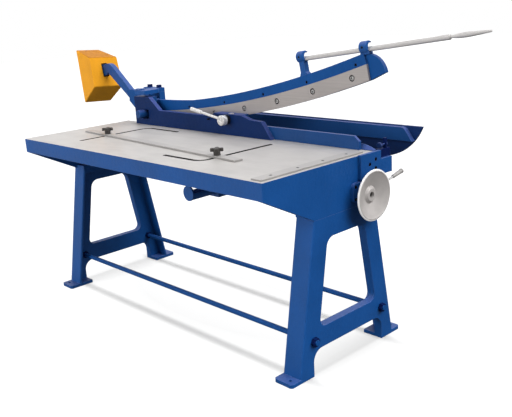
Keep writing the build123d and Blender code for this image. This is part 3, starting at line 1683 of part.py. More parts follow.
# Hanger bearing under the table next to the pinion
with BuildPart() as inner_bearing:
    with BuildSketch(Plane.YZ.offset(hanger_x)):
        with Locations((shaft_y, shaft_z)):
            Circle(hanger_width / 2)
        with Locations((shaft_y, (shaft_z + table_underside) / 2)):
            Rectangle(hanger_width, table_underside - shaft_z)
    extrude(amount=hanger_thickness)
    with BuildSketch(Plane.XY.offset(table_underside - hanger_flange)):
        with Locations((hanger_x, shaft_y)):
            Rectangle(2 * hanger_thickness, hanger_width)
    extrude(amount=hanger_flange)
    with BuildSketch(Plane.YZ.offset(hanger_x)):
        with Locations((shaft_y, shaft_z)):
            Circle(shaft_diameter / 2 + running_clearance)
    extrude(amount=hanger_thickness, mode=Mode.SUBTRACT)
save(inner_bearing.part, "inner_bearing")

# Cross shaft from the hanger bearing to the handwheel
shaft_left = hanger_x - hanger_flange / 2
shaft_right = wheel_end - wheel_bore_recess
with BuildPart() as cross_shaft:
    with BuildSketch(Plane.YZ.offset(shaft_left)):
        with Locations((shaft_y, shaft_z)):
            Circle(shaft_diameter / 2)
    extrude(amount=shaft_right - shaft_left)
save(cross_shaft.part, "cross_shaft")

# Dished handwheel, turned about the shaft
wheel_axis = Axis((0, shaft_y, shaft_z), (1, 0, 0))
wheel_radius = wheel_diameter / 2
wheel_plane = Plane(origin=(wheel_start, shaft_y, shaft_z), x_dir=(1, 0, 0), z_dir=(0, -1, 0))
hub_radius = wheel_hub_diameter / 2
rim_inner = wheel_radius - wheel_rim_height
rim_crown = wheel_radius - wheel_rim_step
rim_face = wheel_rim_reach - wheel_rim_roll
rim_back = rim_face - 2 * wheel_rim_step
rim_middle = (rim_face + rim_back) / 2
bore_radius = shaft_diameter / 2 + press_clearance
with BuildPart() as handwheel:
    with BuildSketch(wheel_plane):
        with BuildLine():
            Polyline(
                (0, bore_radius),
                (wheel_hub_length, bore_radius),
                (wheel_hub_length, hub_radius - wheel_hub_edge),
                (wheel_hub_length - wheel_hub_edge, hub_radius),
                (wheel_web + wheel_hub_edge, hub_radius + wheel_hub_foot),
                (wheel_rim_reach - wheel_rim_step, rim_inner - wheel_rim_step),
                (wheel_rim_reach, rim_inner + wheel_rim_roll),
                (rim_face, rim_crown),
            )
            ThreePointArc((rim_face, rim_crown), (rim_middle, wheel_radius), (rim_back, rim_crown))
            Polyline(
                (rim_back, rim_crown),
                (rim_back, rim_inner + wheel_rim_step),
                (wheel_rim_reach - wheel_rim_step - wheel_web, rim_inner),
                (wheel_rim_roll, hub_radius + wheel_hub_foot),
                (0, hub_radius + wheel_hub_edge),
                (0, bore_radius),
            )
        make_face()
    revolve(axis=wheel_axis)
save(handwheel.part, "handwheel")

# Pinion on the shaft, in mesh with the toothed rail
tooth_pitch = pi * rack_module
tooth_half = (tooth_pitch - tooth_play) / 4
flank = tan(radians(pressure_angle))
pinion_root = pinion_radius - rack_dedendum
pinion_tip = pinion_radius + rack_addendum
with BuildPart() as pinion:
    with BuildSketch(Plane.YZ.offset(rail_x - pinion_width / 2)):
        with Locations((shaft_y, shaft_z)):
            Circle(pinion_root)
            with PolarLocations(0, pinion_teeth, start_angle=-90):
                Polygon(
                    (0, tooth_half + rack_dedendum * flank),
                    (pinion_root - 1, tooth_half + rack_dedendum * flank * tooth_root_share),
                    (pinion_radius, tooth_half),
                    (pinion_tip, tooth_half - rack_addendum * flank * tooth_tip_share),
                    (pinion_tip, -tooth_half + rack_addendum * flank * tooth_tip_share),
                    (pinion_radius, -tooth_half),
                    (pinion_root - 1, -tooth_half - rack_dedendum * flank * tooth_root_share),
                    (0, -tooth_half - rack_dedendum * flank),
                    align=None,
                )
            Circle(shaft_diameter / 2 + press_clearance, mode=Mode.SUBTRACT)
    extrude(amount=pinion_width)
save(pinion.part, "pinion")

# Lock lever on the shaft between bearing and handwheel
lock_tilt = radians(lock_angle)
lock_plane = Plane(
    origin=(lock_start + lock_hub_length / 2, shaft_y, shaft_z),
    x_dir=(1, 0, 0),
    z_dir=(0, cos(lock_tilt), sin(lock_tilt)),
)
lock_root = shaft_diameter / 2 + lock_seat
lock_grip_start = lock_reach - lock_grip_length
with BuildPart() as lock_lever:
    with BuildSketch(Plane.YZ.offset(lock_start)):
        with Locations((shaft_y, shaft_z)):
            Circle(lock_hub_diameter / 2)
    extrude(amount=lock_hub_length)
    with BuildSketch(lock_plane.offset(lock_root)):
        Circle(lock_rod_diameter / 2)
    extrude(amount=lock_grip_start + lock_grip_length / 2 - lock_root)
    with BuildSketch(Plane.YZ.offset(lock_start)):
        with Locations((shaft_y, shaft_z)):
            Circle(shaft_diameter / 2 + running_clearance)
    extrude(amount=lock_hub_length, mode=Mode.SUBTRACT)
save(lock_lever.part, "lock_lever")

grip_side = Plane(origin=lock_plane.offset(lock_grip_start).origin, x_dir=lock_plane.z_dir, z_dir=(1, 0, 0))
with BuildPart() as lock_grip:
    with BuildSketch(grip_side):
        with BuildLine():
            Polyline(
                (0, lock_rod_diameter / 2 + press_clearance),
                (0, lock_grip_diameter / 2 - 1),
                (1, lock_grip_diameter / 2),
                (lock_grip_length - lock_collar_length, lock_grip_end / 2 - 1),
                (lock_grip_length - lock_collar_length, lock_grip_end / 2),
                (lock_grip_length - lock_grip_edge, lock_grip_end / 2),
                (lock_grip_length, lock_grip_end / 2 - lock_grip_edge),
                (lock_grip_length, 0),
                (lock_grip_length / 2, 0),
                (lock_grip_length / 2, lock_rod_diameter / 2 + press_clearance),
                close=True,
            )
        make_face()
    revolve(axis=Axis(grip_side.origin, lock_plane.z_dir))
save(lock_grip.part, "lock_grip")

# Back gauge: plate with rounded lower ends, stop bar, upright and toothed rail
plate_half = gauge_plate_length / 2
plate_low = top + gauge_plate_top - gauge_plate_height
plate_high = top + gauge_plate_top
arc_centre_z = plate_low + gauge_plate_radius
arc_drop = arc_centre_z - plate_high
arc_centre_x = plate_half - sqrt(gauge_plate_radius**2 - arc_drop**2)
arc_mid_angle = (atan2(-arc_drop, plate_half - arc_centre_x) - pi / 2) / 2
arc_mid = (
    arc_centre_x + gauge_plate_radius * cos(arc_mid_angle),
    arc_centre_z + gauge_plate_radius * sin(arc_mid_angle),
)
gauge_bolt_spots = [
    (rail_x + side * gauge_bolt_spread / 2, z)
    for side in (-1, 1)
    for z in (top - gauge_bolt_rise, top + gauge_bar_rise + gauge_bar_height / 2)
]
rail_bolt_spots = [(rail_x, (rail_bottom + rail_top) / 2 - rack_dedendum)]
with BuildPart() as gauge_plate:
    with BuildSketch(at_y(plate_rear)):
        with BuildLine():
            Line((gauge_middle - plate_half, plate_high), (gauge_middle + plate_half, plate_high))
            ThreePointArc(
                (gauge_middle + plate_half, plate_high),
                (gauge_middle + arc_mid[0], arc_mid[1]),
                (gauge_middle + arc_centre_x, plate_low),
            )
            Line((gauge_middle + arc_centre_x, plate_low), (gauge_middle - arc_centre_x, plate_low))
            ThreePointArc(
                (gauge_middle - arc_centre_x, plate_low),
                (gauge_middle - arc_mid[0], arc_mid[1]),
                (gauge_middle - plate_half, plate_high),
            )
        make_face()
        with Locations(*gauge_bolt_spots):
            Circle(gauge_bolt_diameter / 2 + hole_clearance, mode=Mode.SUBTRACT)
    extrude(amount=gauge_plate_thickness)
save(gauge_plate.part, "gauge_plate")

bar_low = top + gauge_bar_rise
bar_half = gauge_bar_length / 2
with BuildPart() as gauge_bar:
    with BuildSketch(at_y(plate_front)):
        with BuildLine():
            Polyline(
                (gauge_middle - bar_half, bar_low),
                (gauge_middle + bar_half, bar_low),
                (gauge_middle + bar_half - gauge_bar_bevel, bar_low + gauge_bar_height),
                (gauge_middle - bar_half + gauge_bar_bevel, bar_low + gauge_bar_height),
                close=True,
            )
        make_face()
    extrude(amount=gauge_bar_depth)
    bar_corners = gauge_bar.edges().filter_by(Axis.Y).group_by(Axis.Z)[-1]
    fillet(bar_corners, gauge_bar_corner)
    with BuildSketch(at_y(plate_front)):
        with Locations(*[spot for spot in gauge_bolt_spots if spot[1] > bar_low]):
            Circle(gauge_bolt_diameter / 2 + hole_clearance)
    extrude(amount=gauge_bolt_reach, mode=Mode.SUBTRACT)
save(gauge_bar.part, "gauge_bar")

rack_first = round(-rack_front_reach / tooth_pitch)
rack_last = round(rack_rear_reach / tooth_pitch)
rack_root = rack_line - rack_dedendum


def rail_section(grown):
    """Half-round section of the rail, flat side up, grown by a play all round."""
    with BuildSketch() as section:
        with Locations((rail_x, rail_middle_z)):
            Circle(rail_diameter / 2 + grown)
        with Locations((rail_x, rail_top + grown + rail_diameter)):
            Rectangle(2 * rail_diameter, 2 * rail_diameter, mode=Mode.SUBTRACT)
    return section.sketch


with BuildPart() as gauge_rail:
    with BuildSketch(at_y(plate_rear)):
        add(rail_section(0))
    extrude(amount=plate_rear - rail_front)
    with BuildSketch(Plane.YZ.offset(rail_x - rail_diameter / 2)):
        for step in range(rack_first, rack_last):
            gap_y = shaft_y + step * tooth_pitch
            gap_half = tooth_pitch / 2 - tooth_half
            with BuildLine():
                Polyline(
                    (gap_y - gap_half - rack_addendum * flank, rail_top),
                    (gap_y - gap_half + rack_dedendum * flank, rack_root),
                    (gap_y + gap_half - rack_dedendum * flank, rack_root),
                    (gap_y + gap_half + rack_addendum * flank, rail_top),
                    close=True,
                )
            make_face()
    extrude(amount=rail_diameter, mode=Mode.SUBTRACT)
    # Round stop disc on the front end
    with BuildSketch(at_y(rail_front)):
        with Locations((rail_x, rail_middle_z)):
            Circle(rail_collar_diameter / 2)
    extrude(amount=rail_collar_thickness)
    with BuildSketch(at_y(plate_rear)):
        with Locations(*rail_bolt_spots):
            Circle(gauge_bolt_diameter / 2 + hole_clearance)
    extrude(amount=screw_hole_depth, mode=Mode.SUBTRACT)
save(gauge_rail.part, "gauge_rail")

with BuildPart() as gauge_upright:
    upright_height = top + upright_rise - rail_bottom
    with BuildSketch(at_y(upright_rear)):
        with Locations((rail_x, rail_bottom + upright_height / 2)):
            Rectangle(upright_width, upright_height)
        with Locations(*gauge_bolt_spots, *rail_bolt_spots):
            Circle(gauge_bolt_diameter / 2 + hole_clearance, mode=Mode.SUBTRACT)
    extrude(amount=upright_thickness)
save(gauge_upright.part, "gauge_upright")

gauge_bolt_planes = [
    Plane(origin=(x, upright_rear, z), x_dir=(1, 0, 0), z_dir=rear_facing)
    for x, z in gauge_bolt_spots + rail_bolt_spots
]
gauge_bolt_length = upright_thickness + gauge_plate_thickness
gauge_bolts = hex_bolts(
    gauge_bolt_planes, gauge_bolt_diameter, gauge_bolt_length, gauge_bolt_flats, gauge_bolt_head
)
save(gauge_bolts, "gauge_bolts")

# Rail guides: the front one hangs from the table plate, the rear one from the rear wall
guide_floor = rail_bottom - guide_block_floor
guide_roof = rail_top + guide_block_roof
rear_guide_top = top - rear_wall_depth
front_guide_middle = front_guide_y + guide_block_length / 2
with BuildPart() as rail_guides:
    with BuildSketch(Plane.XY.offset(guide_floor)):
        with Locations((rail_x, front_guide_middle)):
            Rectangle(guide_block_width, guide_block_length)
    extrude(amount=guide_roof - guide_floor)
    with BuildSketch(Plane.XY.offset(guide_roof)):
        with Locations((rail_x, front_guide_middle)):
            Rectangle(guide_web, guide_block_length)
    extrude(amount=table_underside - guide_roof)
    with BuildSketch(Plane.XY.offset(table_underside - guide_flange)):
        with Locations((rail_x, front_guide_middle)):
            Rectangle(guide_block_width, guide_block_length)
    extrude(amount=guide_flange)
    with BuildSketch(Plane.XY.offset(guide_floor)):
        with Locations((rail_x, rear_wall_front + rear_guide_length / 2)):
            Rectangle(guide_block_width, rear_guide_length)
    extrude(amount=rear_guide_top - guide_floor)
    with BuildSketch(at_y(rear_wall_front + rear_guide_length)):
        add(rail_section(rail_play))
    extrude(amount=rear_wall_front + rear_guide_length - front_guide_y, mode=Mode.SUBTRACT)
save(rail_guides.part, "rail_guides")

# Table stop bar with its nuts under the table, and the two knobs
stop_angle = degrees(atan2(right_knob_y - left_knob_y, right_slot_x - left_slot_x))
stop_slope = (right_knob_y - left_knob_y) / (right_slot_x - left_slot_x)
stop_middle_x = (stop_bar_left + stop_bar_right) / 2
stop_middle_y = left_knob_y + stop_slope * (stop_middle_x - left_slot_x)
stop_bar_length = hypot(stop_bar_right - stop_bar_left, stop_slope * (stop_bar_right - stop_bar_left))
stop_bar_low = top + flat_clearance
stop_bar_high = stop_bar_low + stop_bar_thickness
knob_spots = ((left_slot_x, left_knob_y), (right_slot_x, right_knob_y))
with BuildPart() as stop_bar:
    with BuildSketch(Plane.XY.offset(stop_bar_low)):
        with Locations(Location((stop_middle_x, stop_middle_y, 0), (0, 0, stop_angle))):
            Rectangle(stop_bar_length, stop_bar_width)
        with Locations(*knob_spots):
            Circle(stud_diameter / 2 + running_clearance, mode=Mode.SUBTRACT)
    extrude(amount=stop_bar_thickness)
    chamfer(stop_bar.faces().sort_by(Axis.Z)[-1].outer_wire().edges(), small_edge)
save(stop_bar.part, "stop_bar")

with BuildPart() as stop_nuts:
    with BuildSketch(Plane.XY.offset(table_underside - flat_clearance - stop_nut_height)):
        with Locations(*knob_spots):
            RegularPolygon(stop_nut_flats / 2, 6, major_radius=False)
            Circle(stud_diameter / 2 + running_clearance, mode=Mode.SUBTRACT)
    extrude(amount=stop_nut_height)
save(stop_nuts.part, "stop_nuts")


def make_knob(spot):
    """Lobed clamping knob on its stud."""
    seat = stop_bar_high + flat_clearance
    with BuildPart() as knob:
        with BuildSketch(Plane.XY.offset(seat)):
            with Locations(spot):
                Circle(knob_stem_diameter / 2)
        extrude(amount=knob_stem_height)
        with BuildSketch(Plane.XY.offset(seat + knob_stem_height)):
            with Locations(spot):
                Circle(knob_head_diameter / 2)
                with PolarLocations(knob_lobe_reach, knob_lobes, start_angle=knob_turn):
                    Circle(knob_lobe_diameter / 2)
        extrude(amount=knob_head_height)
        fillet(knob.faces().sort_by(Axis.Z)[-1].edges(), knob_edge)
        with BuildSketch(Plane.XY.offset(seat)):
            with Locations(spot):
                Circle(stud_diameter / 2)
        extrude(amount=-(seat - table_underside + stud_tail))
    return knob.part


save(make_knob(knob_spots[0]), "left_knob")
save(make_knob(knob_spots[1]), "right_knob")
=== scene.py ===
import json
import math

import bpy
from mathutils import Matrix, Vector


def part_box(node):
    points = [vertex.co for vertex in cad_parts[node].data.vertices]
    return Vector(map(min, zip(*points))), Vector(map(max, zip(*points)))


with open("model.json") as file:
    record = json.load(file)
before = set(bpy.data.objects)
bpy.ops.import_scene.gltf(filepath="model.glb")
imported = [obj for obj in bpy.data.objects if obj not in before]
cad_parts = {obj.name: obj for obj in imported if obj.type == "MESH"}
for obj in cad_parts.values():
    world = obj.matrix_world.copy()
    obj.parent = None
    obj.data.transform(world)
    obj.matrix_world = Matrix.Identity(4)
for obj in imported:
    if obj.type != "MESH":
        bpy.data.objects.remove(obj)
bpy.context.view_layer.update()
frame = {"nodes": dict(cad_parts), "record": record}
scene = bpy.context.scene
scene.view_settings.view_transform = "Standard"

# Paints, linear: body; edges, lightened as painted highlight with some wear; and faces that look up,
# lighter or darker as painted top light (a painted sheen on the blues) with some dust
BLUE = ((0.006, 0.060, 0.225), (0.085, 0.150, 0.400), (0.045, 0.095, 0.290))
# Besides the machine blue, these blues are darker copies that paint in the shade on their parts: a little
# on the beam and tie rods, and more on the hold-down's bar and the pin, the gauge bar, the hold-down's
# front and adjusting screw (shade blue), the gauge plate and the navy pieces
BEAM_BLUE = ((0.005, 0.056, 0.210), (0.085, 0.150, 0.400), (0.045, 0.095, 0.290))
BAR_BLUE = ((0.006, 0.044, 0.160), (0.085, 0.150, 0.400), (0.045, 0.080, 0.260))
ROD_BLUE = ((0.005, 0.056, 0.210), (0.020, 0.080, 0.260), (0.014, 0.068, 0.240))
SHADE_BLUE = ((0.003, 0.017, 0.080), (0.050, 0.090, 0.270), (0.045, 0.070, 0.230))
GAUGE_SHADE_BLUE = ((0.004, 0.021, 0.092), (0.060, 0.100, 0.280), (0.020, 0.040, 0.150))
GAUGE_BAR_BLUE = ((0.006, 0.046, 0.165), (0.070, 0.110, 0.300), (0.045, 0.075, 0.240))
# The plug's near-white edge colour is a painted highlight ring
PLUG_BLUE = ((0.006, 0.060, 0.225), (0.700, 0.720, 0.760), (0.230, 0.280, 0.440))
# Navy is painted shade on the guide shoe and the dark colour of the tie-rod nuts and bridge screws
NAVY_AND_SHADE = ((0.002, 0.008, 0.055), (0.006, 0.024, 0.165), (0.004, 0.014, 0.080))
# The orange's top colour is darker than its body: painted shade on the weight's top
ORANGE = ((0.680, 0.295, 0.016), (0.860, 0.440, 0.070), (0.430, 0.160, 0.006))

# Metals, plastic, the black of blackened steel that also serves as painted shade, and the black of the
# slots' painted shade, linear
MACHINED = (0.610, 0.588, 0.572)
STRIP_TOP = (0.520, 0.500, 0.488)
STRIP_SIDE = (0.330, 0.318, 0.310)
BLADE = (0.425, 0.392, 0.380)
GROUND = (0.620, 0.600, 0.590)
ALLOY = (0.560, 0.530, 0.515)
WHEEL_RIM = (0.920, 0.910, 0.900)
PLATING = (0.800, 0.790, 0.780)
GRIP_GREY = (0.480, 0.462, 0.450)
BRONZE = (0.450, 0.290, 0.110)
PLASTIC = (0.040, 0.036, 0.034)
BLACK_STEEL_AND_SHADE = (0.020, 0.020, 0.022)
SLOT_SHADE_BLACK = (0.010, 0.009, 0.008)
WHITE = (1.0, 1.0, 1.0, 1.0)

# How much of a metal's light is mirrored in its own colour
FULL_METALLIC = 1.0
STEEL_METALLIC = 0.5
TABLE_METALLIC = 0.4
RIM_METALLIC = 0.15

# Gloss of bare metal and plastic, of the paint and of its duller coats
PLAIN_LEVEL = 0.5
PAINT_LEVEL = 0.25
MATT_LEVEL = 0.1

# Rounding that the light finds on cast and on machined edges, metres
CAST_EDGE = 0.003
FINE_EDGE = 0.0008
EDGE_SAMPLES = 4
# Cosine of the turn where an edge begins to show and where it shows in full
EDGE_TURN = (0.99, 0.80)

# Upward lean of faces that get the painted top light and dust, and of flat tops
TOP_LIGHT_LEAN = (0.3, 0.7)
FLAT_LEAN = (0.6, 0.9)

# Middle band of a noise, where most of it lies
MIDDLE = (0.3, 0.7)

# Lines of ground steel run along one axis
ALONG_X, ALONG_Y = 0, 1


def node(tree, kind, inputs=None, **settings):
    """New shader node with its settings, and its inputs linked or set."""
    made = tree.nodes.new(kind)
    for name, value in settings.items():
        setattr(made, name, value)
    fill(tree, made, inputs or {})
    return made


def fill(tree, target, inputs):
    """Link or set the inputs of a node by name or number."""
    for name, value in inputs.items():
        socket = target.inputs[name]
        if isinstance(value, bpy.types.NodeSocket):
            tree.links.new(value, socket)
        else:
            socket.default_value = value


def dress(tree, shader, tint, rough, normal, metallic=0.0, level=PLAIN_LEVEL):
    """Give a shader its colour, roughness, normal, metal and gloss."""
    fill(tree, shader, {"Base Color": tint, "Roughness": rough, "Normal": normal})
    fill(tree, shader, {"Metallic": metallic, "Specular IOR Level": level})


def new_material(name):
    """Material with its shader and the coordinates of the piece that wears it."""
    material = bpy.data.materials.new(name)
    material.use_nodes = True
    tree = material.node_tree
    place = node(tree, "ShaderNodeTexCoord").outputs["Object"]
    return material, tree, tree.nodes["Principled BSDF"], place


def axes_of(tree, vector):
    """The three parts of a vector."""
    return node(tree, "ShaderNodeSeparateXYZ", {"Vector": vector}).outputs


def noise(tree, place, scale, detail, stretch=(1.0, 1.0, 1.0)):
    """Grey noise with so many cells to the metre; stretch counts cells along each axis."""
    mapped = node(tree, "ShaderNodeMapping", {"Vector": place, "Scale": stretch}).outputs["Vector"]
    made = node(tree, "ShaderNodeTexNoise", {"Vector": mapped, "Scale": scale, "Detail": detail})
    return made.outputs["Fac"]


def remap(tree, value, low, high, to_low=0.0, to_high=1.0):
    """Value moved from one range to another and held inside it."""
    inputs = {"Value": value, "From Min": low, "From Max": high, "To Min": to_low, "To Max": to_high}
    return node(tree, "ShaderNodeMapRange", inputs).outputs["Result"]


def maths(tree, operation, first, second):
    """Sum, product or comparison of two values."""
    return node(tree, "ShaderNodeMath", {0: first, 1: second}, operation=operation).outputs["Value"]


def product(tree, first, second):
    """Two values or masks multiplied."""
    return maths(tree, "MULTIPLY", first, second)


def dot(tree, first, second):
    """Share of one direction in another."""
    made = node(tree, "ShaderNodeVectorMath", {0: first, 1: second}, operation="DOT_PRODUCT")
    return made.outputs["Value"]


def length(tree, vector):
    """Length of a vector."""
    return node(tree, "ShaderNodeVectorMath", {0: vector}, operation="LENGTH").outputs["Value"]


def mix_colour(tree, factor, first, second):
    """Colour between two colours."""
    ends = [end if isinstance(end, bpy.types.NodeSocket) else (*end, 1.0) for end in (first, second)]
    made = node(tree, "ShaderNodeMix", {0: factor, 6: ends[0], 7: ends[1]}, data_type="RGBA")
    return made.outputs[2]


def mix_value(tree, factor, first, second):
    """Number between two numbers."""
    made = node(tree, "ShaderNodeMix", {0: factor, 2: first, 3: second}, data_type="FLOAT")
    return made.outputs[0]


def mix_normal(tree, factor, first, second):
    """Direction between two normals."""
    made = node(tree, "ShaderNodeMix", {0: factor, 4: first, 5: second}, data_type="VECTOR")
    return made.outputs[1]


def shade(colour, amount):
    """The same colour, lighter or darker."""
    return tuple(channel * amount for channel in colour)


def mottled(tree, field, band, colour, shades):
    """Colour that a noise makes darker and lighter."""
    dark, light = (shade(colour, amount) for amount in shades)
    return mix_colour(tree, remap(tree, field, *band), dark, light)


def rounded(tree, radius):
    """Normal that turns softly over an edge, and a mask of the edges."""
    soft = node(tree, "ShaderNodeBevel", {"Radius": radius}, samples=EDGE_SAMPLES).outputs["Normal"]
    flat = node(tree, "ShaderNodeNewGeometry").outputs["Normal"]
    return soft, remap(tree, dot(tree, soft, flat), *EDGE_TURN)


def bump(tree, height, distance, normal):
    """Normal raised by a height map, distance in metres."""
    inputs = {"Height": height, "Distance": distance, "Strength": 1.0, "Normal": normal}
    return node(tree, "ShaderNodeBump", inputs).outputs["Normal"]


def facing_up(tree, lean):
    """Mask of the faces that look up."""
    flat = node(tree, "ShaderNodeNewGeometry").outputs["Normal"]
    return remap(tree, axes_of(tree, flat)["Z"], *lean)


# Machine paint: each noise in cells to the metre and layers of detail
PAINT_CLOUD = (6.0, 4.0)
PAINT_LUMPS = (55.0, 3.0)
PAINT_GRAIN = (420.0, 2.0)
PAINT_SHADES = (0.9, 1.12)
# Specks of lighter grain: band of the noise, cover and shade
GRAIN_BAND = (0.35, 0.75)
GRAIN_COVER = (0.0, 0.4)
GRAIN_SHADE = 1.4
# Edges lightened as painted highlight and wear, and up-facing faces recoloured as painted top light with
# dust: band of the lumps and cover
WEAR_AND_HIGHLIGHT_BAND = (0.3, 0.65)
WEAR_AND_HIGHLIGHT_COVER = (0.25, 0.8)
TOP_LIGHT_BAND = (0.25, 0.6)
TOP_LIGHT_COVER = (0.7, 1.0)
# Roughness over the cloud, and heights in metres
GLOSS_BAND = (0.25, 0.75)
PAINT_ROUGH = (0.36, 0.52)
LUMP_HEIGHT = 0.0012
GRAIN_HEIGHT = 0.00022


def paint_layers(tree, place, paint, edge_radius=CAST_EDGE):
    """Colour, roughness and normal of brushed-on machine paint over a casting, with painted highlights on
    edges and painted top light on faces that look up.
    """
    colour, edge_highlight, top_light = paint
    normal, edge = rounded(tree, edge_radius)
    cloud = noise(tree, place, *PAINT_CLOUD)
    grain = noise(tree, place, *PAINT_GRAIN)
    lumps = noise(tree, place, *PAINT_LUMPS)
    body = mottled(tree, cloud, MIDDLE, colour, PAINT_SHADES)
    fine = mix_colour(tree, remap(tree, grain, *GRAIN_BAND, *GRAIN_COVER), body, shade(colour, GRAIN_SHADE))
    # Edges lightened: painted highlight with some wear; faces that look up recoloured: painted top light
    # with some dust
    wear_and_highlight = product(tree, edge, remap(tree, lumps, *WEAR_AND_HIGHLIGHT_BAND, *WEAR_AND_HIGHLIGHT_COVER))
    dust_and_top_light = product(tree, facing_up(tree, TOP_LIGHT_LEAN), remap(tree, lumps, *TOP_LIGHT_BAND, *TOP_LIGHT_COVER))
    tint = mix_colour(tree, wear_and_highlight, mix_colour(tree, dust_and_top_light, fine, top_light), edge_highlight)
    gloss = remap(tree, cloud, *GLOSS_BAND, *PAINT_ROUGH)
    raised = bump(tree, lumps, LUMP_HEIGHT, normal)
    return tint, gloss, bump(tree, grain, GRAIN_HEIGHT, raised)


def painted(name, paint, level=PAINT_LEVEL, edge_radius=CAST_EDGE):
    """Painted casting."""
    material, tree, shader, place = new_material(name)
    tint, gloss, raised = paint_layers(tree, place, paint, edge_radius)
    dress(tree, shader, tint, gloss, raised, level=level)
    return material


# Hold-down: depth of the casting before the bar, whose darker paint is painted shade, and the seam between
# the two paints, metres
BAR_SETBACK = 0.021
PAINT_SEAM = 0.001


def hold_down_material(name):
    """Painted hold-down whose front casting is painted darker than the bar behind it, as painted shade."""
    material, tree, shader, place = new_material(name)
    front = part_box("hold_down")[0][1]
    bar_front = front + BAR_SETBACK
    bar = remap(tree, axes_of(tree, place)["Y"], bar_front, bar_front + PAINT_SEAM)
    shade_tint, gloss, raised = paint_layers(tree, place, SHADE_BLUE)
    bar_tint = paint_layers(tree, place, BAR_BLUE)[0]
    tint = mix_colour(tree, bar, shade_tint, bar_tint)
    level = mix_value(tree, bar, MATT_LEVEL, PAINT_LEVEL)
    dress(tree, shader, tint, gloss, raised, level=level)
    return material


# Painted shade in corners and holes: how near a wall must be, metres, and how much sky they lose
RECESS_REACH = 0.008
RECESS_SAMPLES = 8
RECESS_SKY = (0.95, 0.65)


def recess_shade(tree):
    """Mask of the corners and holes that light hardly enters."""
    settings = {"samples": RECESS_SAMPLES, "only_local": True}
    sky = node(tree, "ShaderNodeAmbientOcclusion", {"Distance": RECESS_REACH}, **settings)
    return remap(tree, sky.outputs["AO"], *RECESS_SKY)


# Ground steel: fine lines in cells to the metre along and across them, then stains
STEEL_LINES = (1.0, 3.0)
CELLS_ALONG = 4.0
CELLS_ACROSS = 260.0
STEEL_SHADES = (0.92, 1.06)
STEEL_STAINS = (7.0, 4.0)
STAIN_BAND = (0.45, 0.75)
STAIN_COVER = (0.0, 0.5)
STAIN_SHADE = 0.82
STEEL_EDGE_HIGHLIGHT = 1.35
LINE_HEIGHT = 0.00005
# Roughness of each steel, and how far the lines change it
BLADE_ROUGH = 0.38
GROUND_ROUGH = 0.34
STRIP_ROUGH = 0.42
TABLE_ROUGH = 0.46
LINE_ROUGH = 0.06


def steel_layers(tree, place, colour, along, roughness):
    """Colour, roughness and normal of ground steel with fine lines along one axis."""
    normal, edge = rounded(tree, FINE_EDGE)
    cells = tuple(CELLS_ALONG if axis == along else CELLS_ACROSS for axis in range(3))
    lines = noise(tree, place, *STEEL_LINES, cells)
    stains = noise(tree, place, *STEEL_STAINS)
    body = mottled(tree, lines, MIDDLE, colour, STEEL_SHADES)
    cover = remap(tree, stains, *STAIN_BAND, *STAIN_COVER)
    dull = mix_colour(tree, cover, body, shade(colour, STAIN_SHADE))
    # Edges lightened: painted highlight
    tint = mix_colour(tree, edge, dull, shade(colour, STEEL_EDGE_HIGHLIGHT))
    rough = remap(tree, lines, *MIDDLE, roughness - LINE_ROUGH, roughness + LINE_ROUGH)
    return tint, rough, bump(tree, lines, LINE_HEIGHT, normal)


def ground_steel(name, colour, roughness):
    """Bare ground or turned steel, painted dark in its holes as shade."""
    material, tree, shader, place = new_material(name)
    tint, rough, raised = steel_layers(tree, place, colour, ALONG_X, roughness)
    # Holes and corners darkened towards black: painted shade
    shaded_holes = mix_colour(tree, recess_shade(tree), tint, BLACK_STEEL_AND_SHADE)
    dress(tree, shader, shaded_holes, rough, raised, STEEL_METALLIC)
    return material


def strip_steel(name, along):
    """Flat steel strip, bright on top and darker at its sides."""
    material, tree, shader, place = new_material(name)
    tint, rough, raised = steel_layers(tree, place, STRIP_TOP, along, STRIP_ROUGH)
    darker_sides = mix_colour(tree, facing_up(tree, FLAT_LEAN), STRIP_SIDE, tint)
    dress(tree, shader, darker_sides, rough, raised, TABLE_METALLIC)
    return material


# Plated small parts: handling marks and grain, and the roughness about each part's own
HANDLING_MARKS = (90.0, 3.0)
MARK_BAND = (0.35, 0.7)
PLATE_SHADES = (0.86, 1.08)
PLATE_EDGE_HIGHLIGHT = 1.3
PLATE_GRAIN = (900.0, 2.0)
PLATE_GRAIN_HEIGHT = 0.00004
SMOOTHER, ROUGHER = 0.05, 0.1
BRIGHT_ROUGH = 0.3
GRIP_ROUGH = 0.4
DARK_ROUGH = 0.42
BRONZE_ROUGH = 0.3


def plated(name, colour, roughness, metallic=FULL_METALLIC):
    """Plated or blackened small steel with handling marks."""
    material, tree, shader, place = new_material(name)
    normal, edge = rounded(tree, FINE_EDGE)
    marks = noise(tree, place, *HANDLING_MARKS)
    grain = noise(tree, place, *PLATE_GRAIN)
    body = mottled(tree, marks, MARK_BAND, colour, PLATE_SHADES)
    # Edges lightened: painted highlight
    tint = mix_colour(tree, edge, body, shade(colour, PLATE_EDGE_HIGHLIGHT))
    rough = remap(tree, marks, *MIDDLE, roughness - SMOOTHER, roughness + ROUGHER)
    dress(tree, shader, tint, rough, bump(tree, grain, PLATE_GRAIN_HEIGHT, normal), metallic)
    return material


# Plating with painted shade: the ring of painted shadow around the blade's screw heads, metres, and the
# bright share of the hub, whose back is painted black as shade
PLATING_TONES = (0.86, 1.0)
SCREW_RING = 0.007
SCREW_ROUGH = (0.25, 0.4)
HUB_BRIGHT = 0.27
HUB_ROUGH = (0.2, 0.35)


